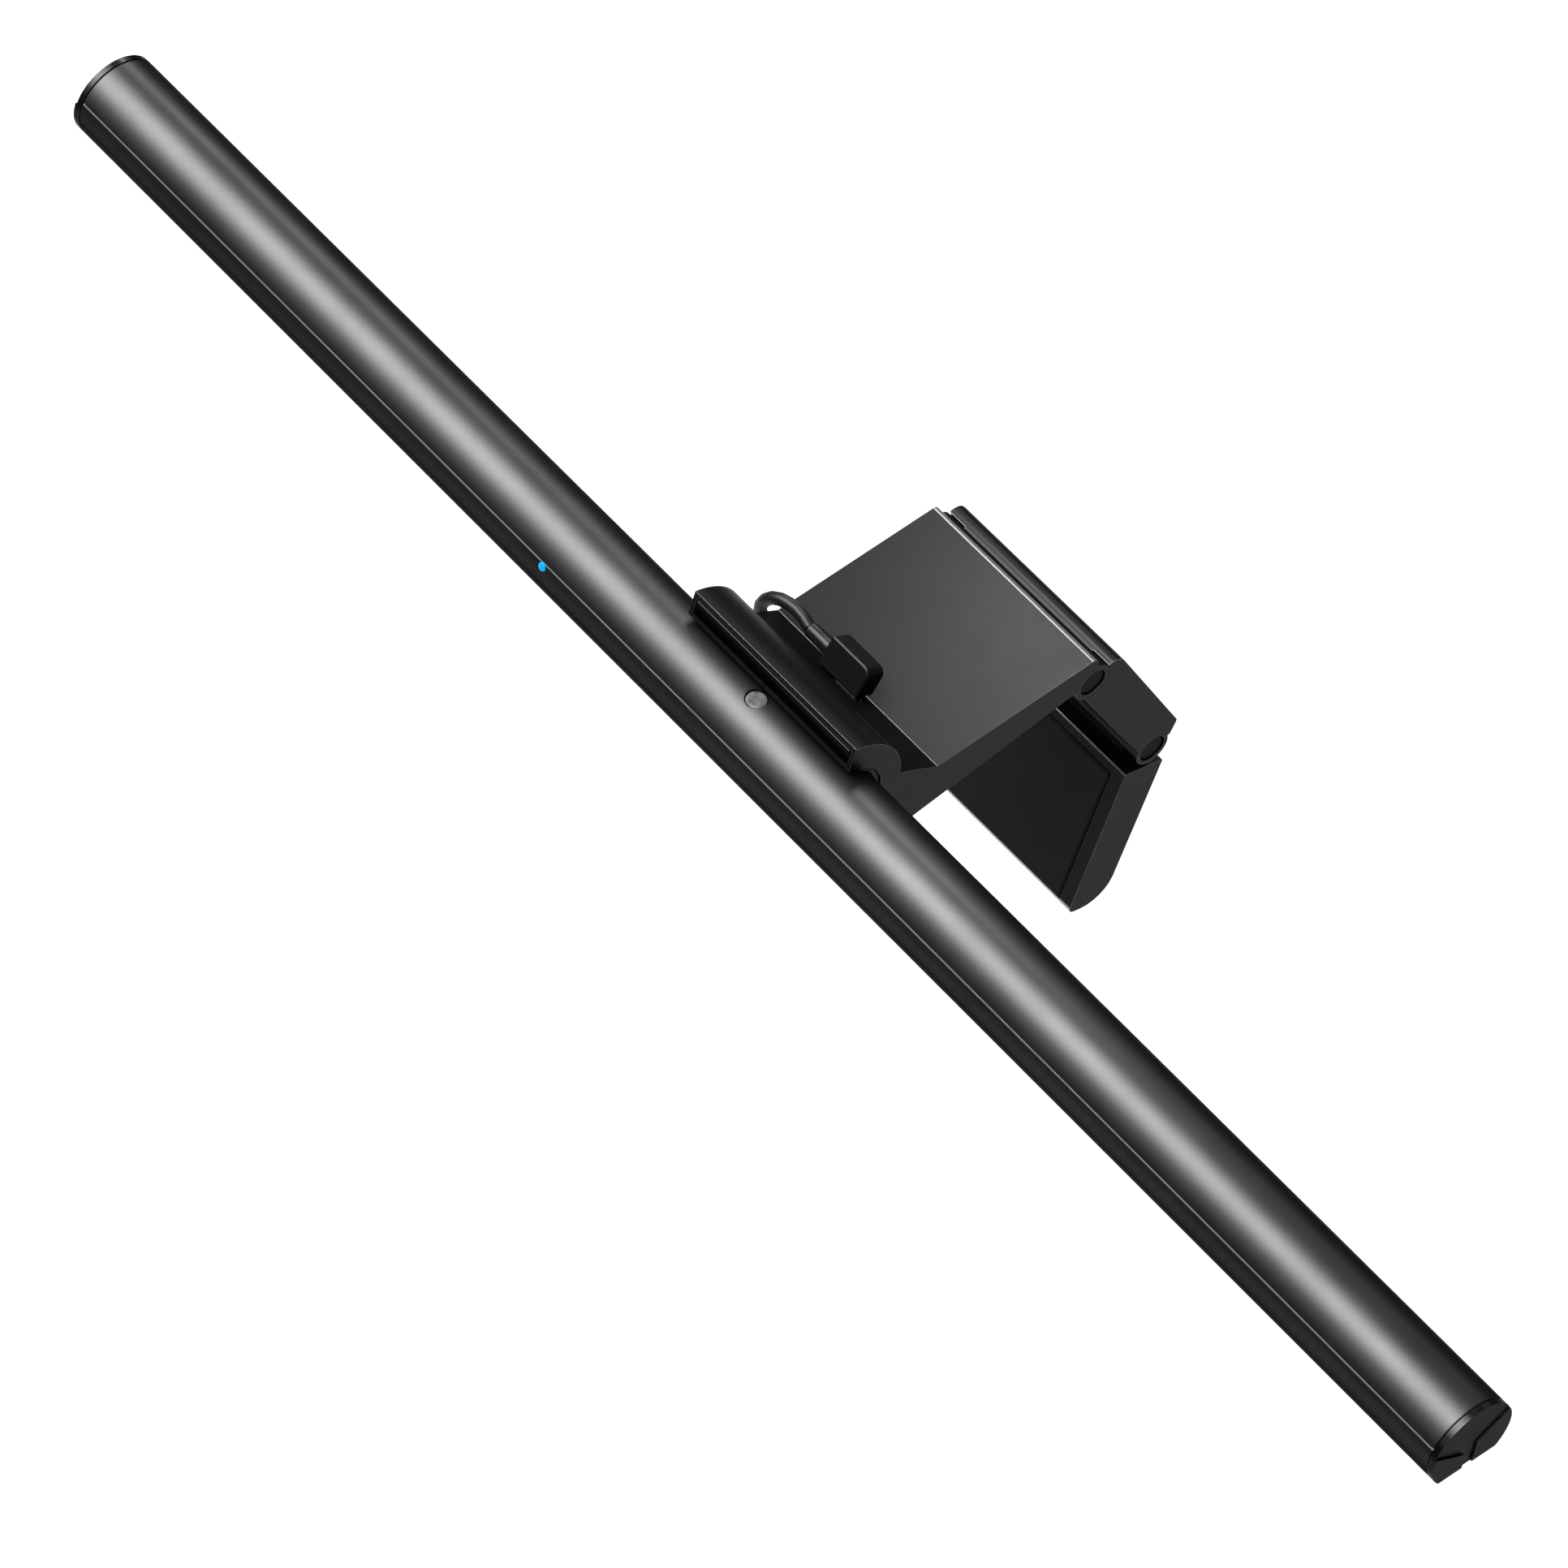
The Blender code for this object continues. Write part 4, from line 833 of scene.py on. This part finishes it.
def hank_points(down_steps=8, up_steps=16, bend_step=18):
    """The hank's turns: down its back, round, and up its front, where each moves over to its next place."""
    x, middle, height = HANK_PLACE
    top = height + HANK_HALF_RUN
    low = height - HANK_HALF_RUN
    inner, outer = HANK_RADII
    first, second, third, fourth, fifth = HANK_COLUMNS
    places = [(first, inner), (second, inner), (second, outer), (third, outer)]
    places += [(third, inner), (fourth, inner), (fourth, outer), (fifth, outer)]
    last_turn = len(places) - 2
    points = []
    for turn, ((side, radius), (next_side, next_radius)) in enumerate(zip(places, places[1:])):
        for step in range(1, down_steps):
            points.append((x + side, middle + radius, top - 2 * HANK_HALF_RUN * step / down_steps))
        for degrees in range(0, -180 - bend_step, -bend_step):
            y, z = polar(radius, degrees, (middle, low))
            points.append((x + side, y, z))
        begin = low + SHIFT_STAGGER * (last_turn - turn)
        for step in range(1, up_steps + 1):
            z = low + 2 * HANK_HALF_RUN * step / up_steps
            share = min(1.0, max(0.0, (z - begin) / SHIFT_RUN))
            share = share * share * (3 - 2 * share)
            across = side + (next_side - side) * share
            away = radius + (next_radius - radius) * share
            points.append((x + across, middle - away, z))
        for degrees in range(180 - bend_step, 0, -bend_step):
            y, z = polar(next_radius, degrees, (middle, top))
            points.append((x + next_side, y, z))
        if turn < last_turn:
            points.append((x + next_side, middle + next_radius, top))
    return [link_place(point) for point in points]


def tail_points():
    """The last stretch, off the hank's top and down to the plug that lies on its outer face."""
    x, middle, height = HANK_PLACE
    top = height + HANK_HALF_RUN
    plug_x, plug_y, plug_top = USB_A_PLACE
    tail_x = x + HANK_COLUMNS[-1]
    points = [
        (tail_x - 0.0003, middle + 0.0130, top - 0.0055),
        (tail_x - 0.0012, middle + 0.0085, top - 0.0105),
        (plug_x, middle + 0.0045, top - 0.0150),
        (plug_x, plug_y, plug_top + 0.0010),
    ]
    return [link_place(point) for point in points]


def usb_cord():
    """The whole cord as one curve, from its strain relief to the plug at its far end, and its length."""
    route = smooth_route(loose_points(), LOOSE_SPACING) + hank_points()
    route += smooth_route([route[-1], *tail_points()], TAIL_SPACING)[1:]
    data = bpy.data.curves.new("fine_usb_cord", "CURVE")
    data.dimensions = "3D"
    data.bevel_depth = CORD_DIAMETER / 2
    data.bevel_resolution = 4
    data.use_fill_caps = True
    spline = data.splines.new("POLY")
    spline.points.add(len(route) - 1)
    for point, place in zip(spline.points, route):
        point.co = (*place, 1.0)
    spline.use_smooth = True
    cord = linked("fine_usb_cord", data)
    data.materials.append(bpy.data.materials["cord_jacket"])
    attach(cord, "clamp")
    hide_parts("usb_cord", "usb_cord_tail", "cord_hank")
    return cord, sum((b - a).length for a, b in zip(route, route[1:]))


# ---------------------------------------------------------------- studio

CAMERA_PLACE = (0.90295, -0.65631, 1.78545)
CAMERA_RIGHT = (0.6395329, 0.7664670, -0.0593801)
CAMERA_UP = (-0.6367858, 0.5714323, 0.5176572)
CAMERA_LENS = 196.22  # millimetres, as is the sensor
CAMERA_SENSOR = 36.0
CAMERA_FAR = 20.0

FLOOR_LEVEL = -0.45
FLOOR_HALF = 3.0
WORLD_TONE = 0.9
WORLD_STRENGTH = 0.06

LIGHTS = (  # name, place, what it points at, length and width, watts, spread in degrees
    ("top_softbox", (-0.50, -0.27, 1.15), (-0.05, -0.04, 0.0), (1.9, 0.60), 12.8, 130.0),
    ("wide_softbox", (-0.50, -0.27, 1.22), (-0.05, -0.04, 0.0), (2.1, 1.30), 29.5, 130.0),
    ("back_strip", (-1.05, 0.95, 0.62), (-0.15, 0.0, 0.02), (0.7, 0.10), 5.0, 180.0),
    ("rear_softbox", (-0.58, 0.80, 1.12), (0.0, 0.02, 0.02), (0.35, 0.35), 0.4, 180.0),
    ("near_softbox", (-0.118, 0.212, 0.274), (0.032, 0.032, 0.010), (0.08, 0.08), 0.26, 180.0),
    ("back_fill", (-0.60, 1.30, 0.55), (0.0, 0.0, 0.02), (1.5, 0.55), 2.1, 180.0),
    ("front_fill", (-0.50, -1.10, 0.75), (0.0, 0.0, 0.02), (1.4, 0.5), 1.6, 180.0),
    ("floor_wash", (1.30, 0.35, 0.80), (0.45, 0.32, -0.45), (0.5, 0.5), 2.2, 40.0),
)


def camera():
    """A long lens high above the bar's right front, with the bar from corner to corner of the picture."""
    data = bpy.data.cameras.new("camera")
    data.lens = CAMERA_LENS
    data.sensor_width = CAMERA_SENSOR
    data.clip_end = CAMERA_FAR
    obj = linked("camera", data)
    right = Vector(CAMERA_RIGHT)
    up = Vector(CAMERA_UP)
    turn = Matrix((right, up, right.cross(up))).transposed().to_4x4()
    obj.matrix_world = Matrix.Translation(CAMERA_PLACE) @ turn
    bpy.context.scene.camera = obj


def area_light(name, place, target, size, power, spread):
    """A rectangular light that faces its target, with its length as near to X as that allows."""
    data = bpy.data.lights.new(name, "AREA")
    data.shape = "RECTANGLE"
    data.size, data.size_y = size
    data.energy = power
    data.spread = math.radians(spread)
    obj = linked(name, data)
    back = (Vector(place) - Vector(target)).normalized()
    along = Vector((1, 0, 0))
    side = along - back * along.dot(back)
    side.normalize()
    turn = Matrix((side, back.cross(side), back)).transposed().to_4x4()
    obj.matrix_world = Matrix.Translation(place) @ turn


def pale_floor():
    half, level = FLOOR_HALF, FLOOR_LEVEL
    corners = [(-half, -half, level), (half, -half, level), (half, half, level), (-half, half, level)]
    mesh = bpy.data.meshes.new("floor")
    mesh.from_pydata(corners, [], [(0, 1, 2, 3)])
    floor = linked("floor", mesh)
    paint = Finish("floor_paint", (0.53, 0.53, 0.53), 0.8)
    paint.colour(paint.mixed(paint.noise(3.0), (0.52, 0.52, 0.52), (0.54, 0.54, 0.54)))
    mesh.materials.append(paint.material)


def studio():
    """A plain pale floor, two large softboxes overhead, and weaker lights behind, in front and beside."""
    pale_floor()
    for row in LIGHTS:
        area_light(*row)
    world = bpy.data.worlds.new("studio")
    world.use_nodes = True
    backdrop = world.node_tree.nodes["Background"]
    backdrop.inputs["Color"].default_value = (WORLD_TONE, WORLD_TONE, WORLD_TONE, 1.0)
    backdrop.inputs["Strength"].default_value = WORLD_STRENGTH
    bpy.context.scene.world = world
    bpy.context.scene.view_settings.view_transform = "Standard"


# ---------------------------------------------------------------- assembly

CAD_FINISHES = {  # the CAD nodes whose shape is right as it is
    "led_carrier": "bare_aluminium",
    "led_board": "board_green",
    "driver_board": "board_green",
    "socket_board": "board_green",
    "bar_keeper_plate": "drawn_steel",
    "bar_contact_plate": "gold_coat",
    "contact_block": "gold_coat",
    "saddle_magnet_left": "nickel_coat",
    "saddle_magnet_right": "nickel_coat",
    "saddle_liner": "pad_rubber",
    "usb_socket": "drawn_steel",
    "top_hinge_pin": "drawn_steel",
    "low_hinge_pin": "drawn_steel",
    "top_friction_sleeve": "drawn_steel",
    "low_friction_sleeve": "drawn_steel",
    "link_counterweight": "drawn_steel",
    "flap_counterweight": "drawn_steel",
}

make_materials()
camera()
studio()

bar_housing()
bar_lenses()
end_caps()
fine_copy("bar_diffuser", "opal_strip")
for node, finish in CAD_FINISHES.items():
    shown = NODES[node].data
    shown.materials.clear()
    shown.materials.append(bpy.data.materials[finish])
clamp()
plugs_and_tie()

cord, cord_length = usb_cord()
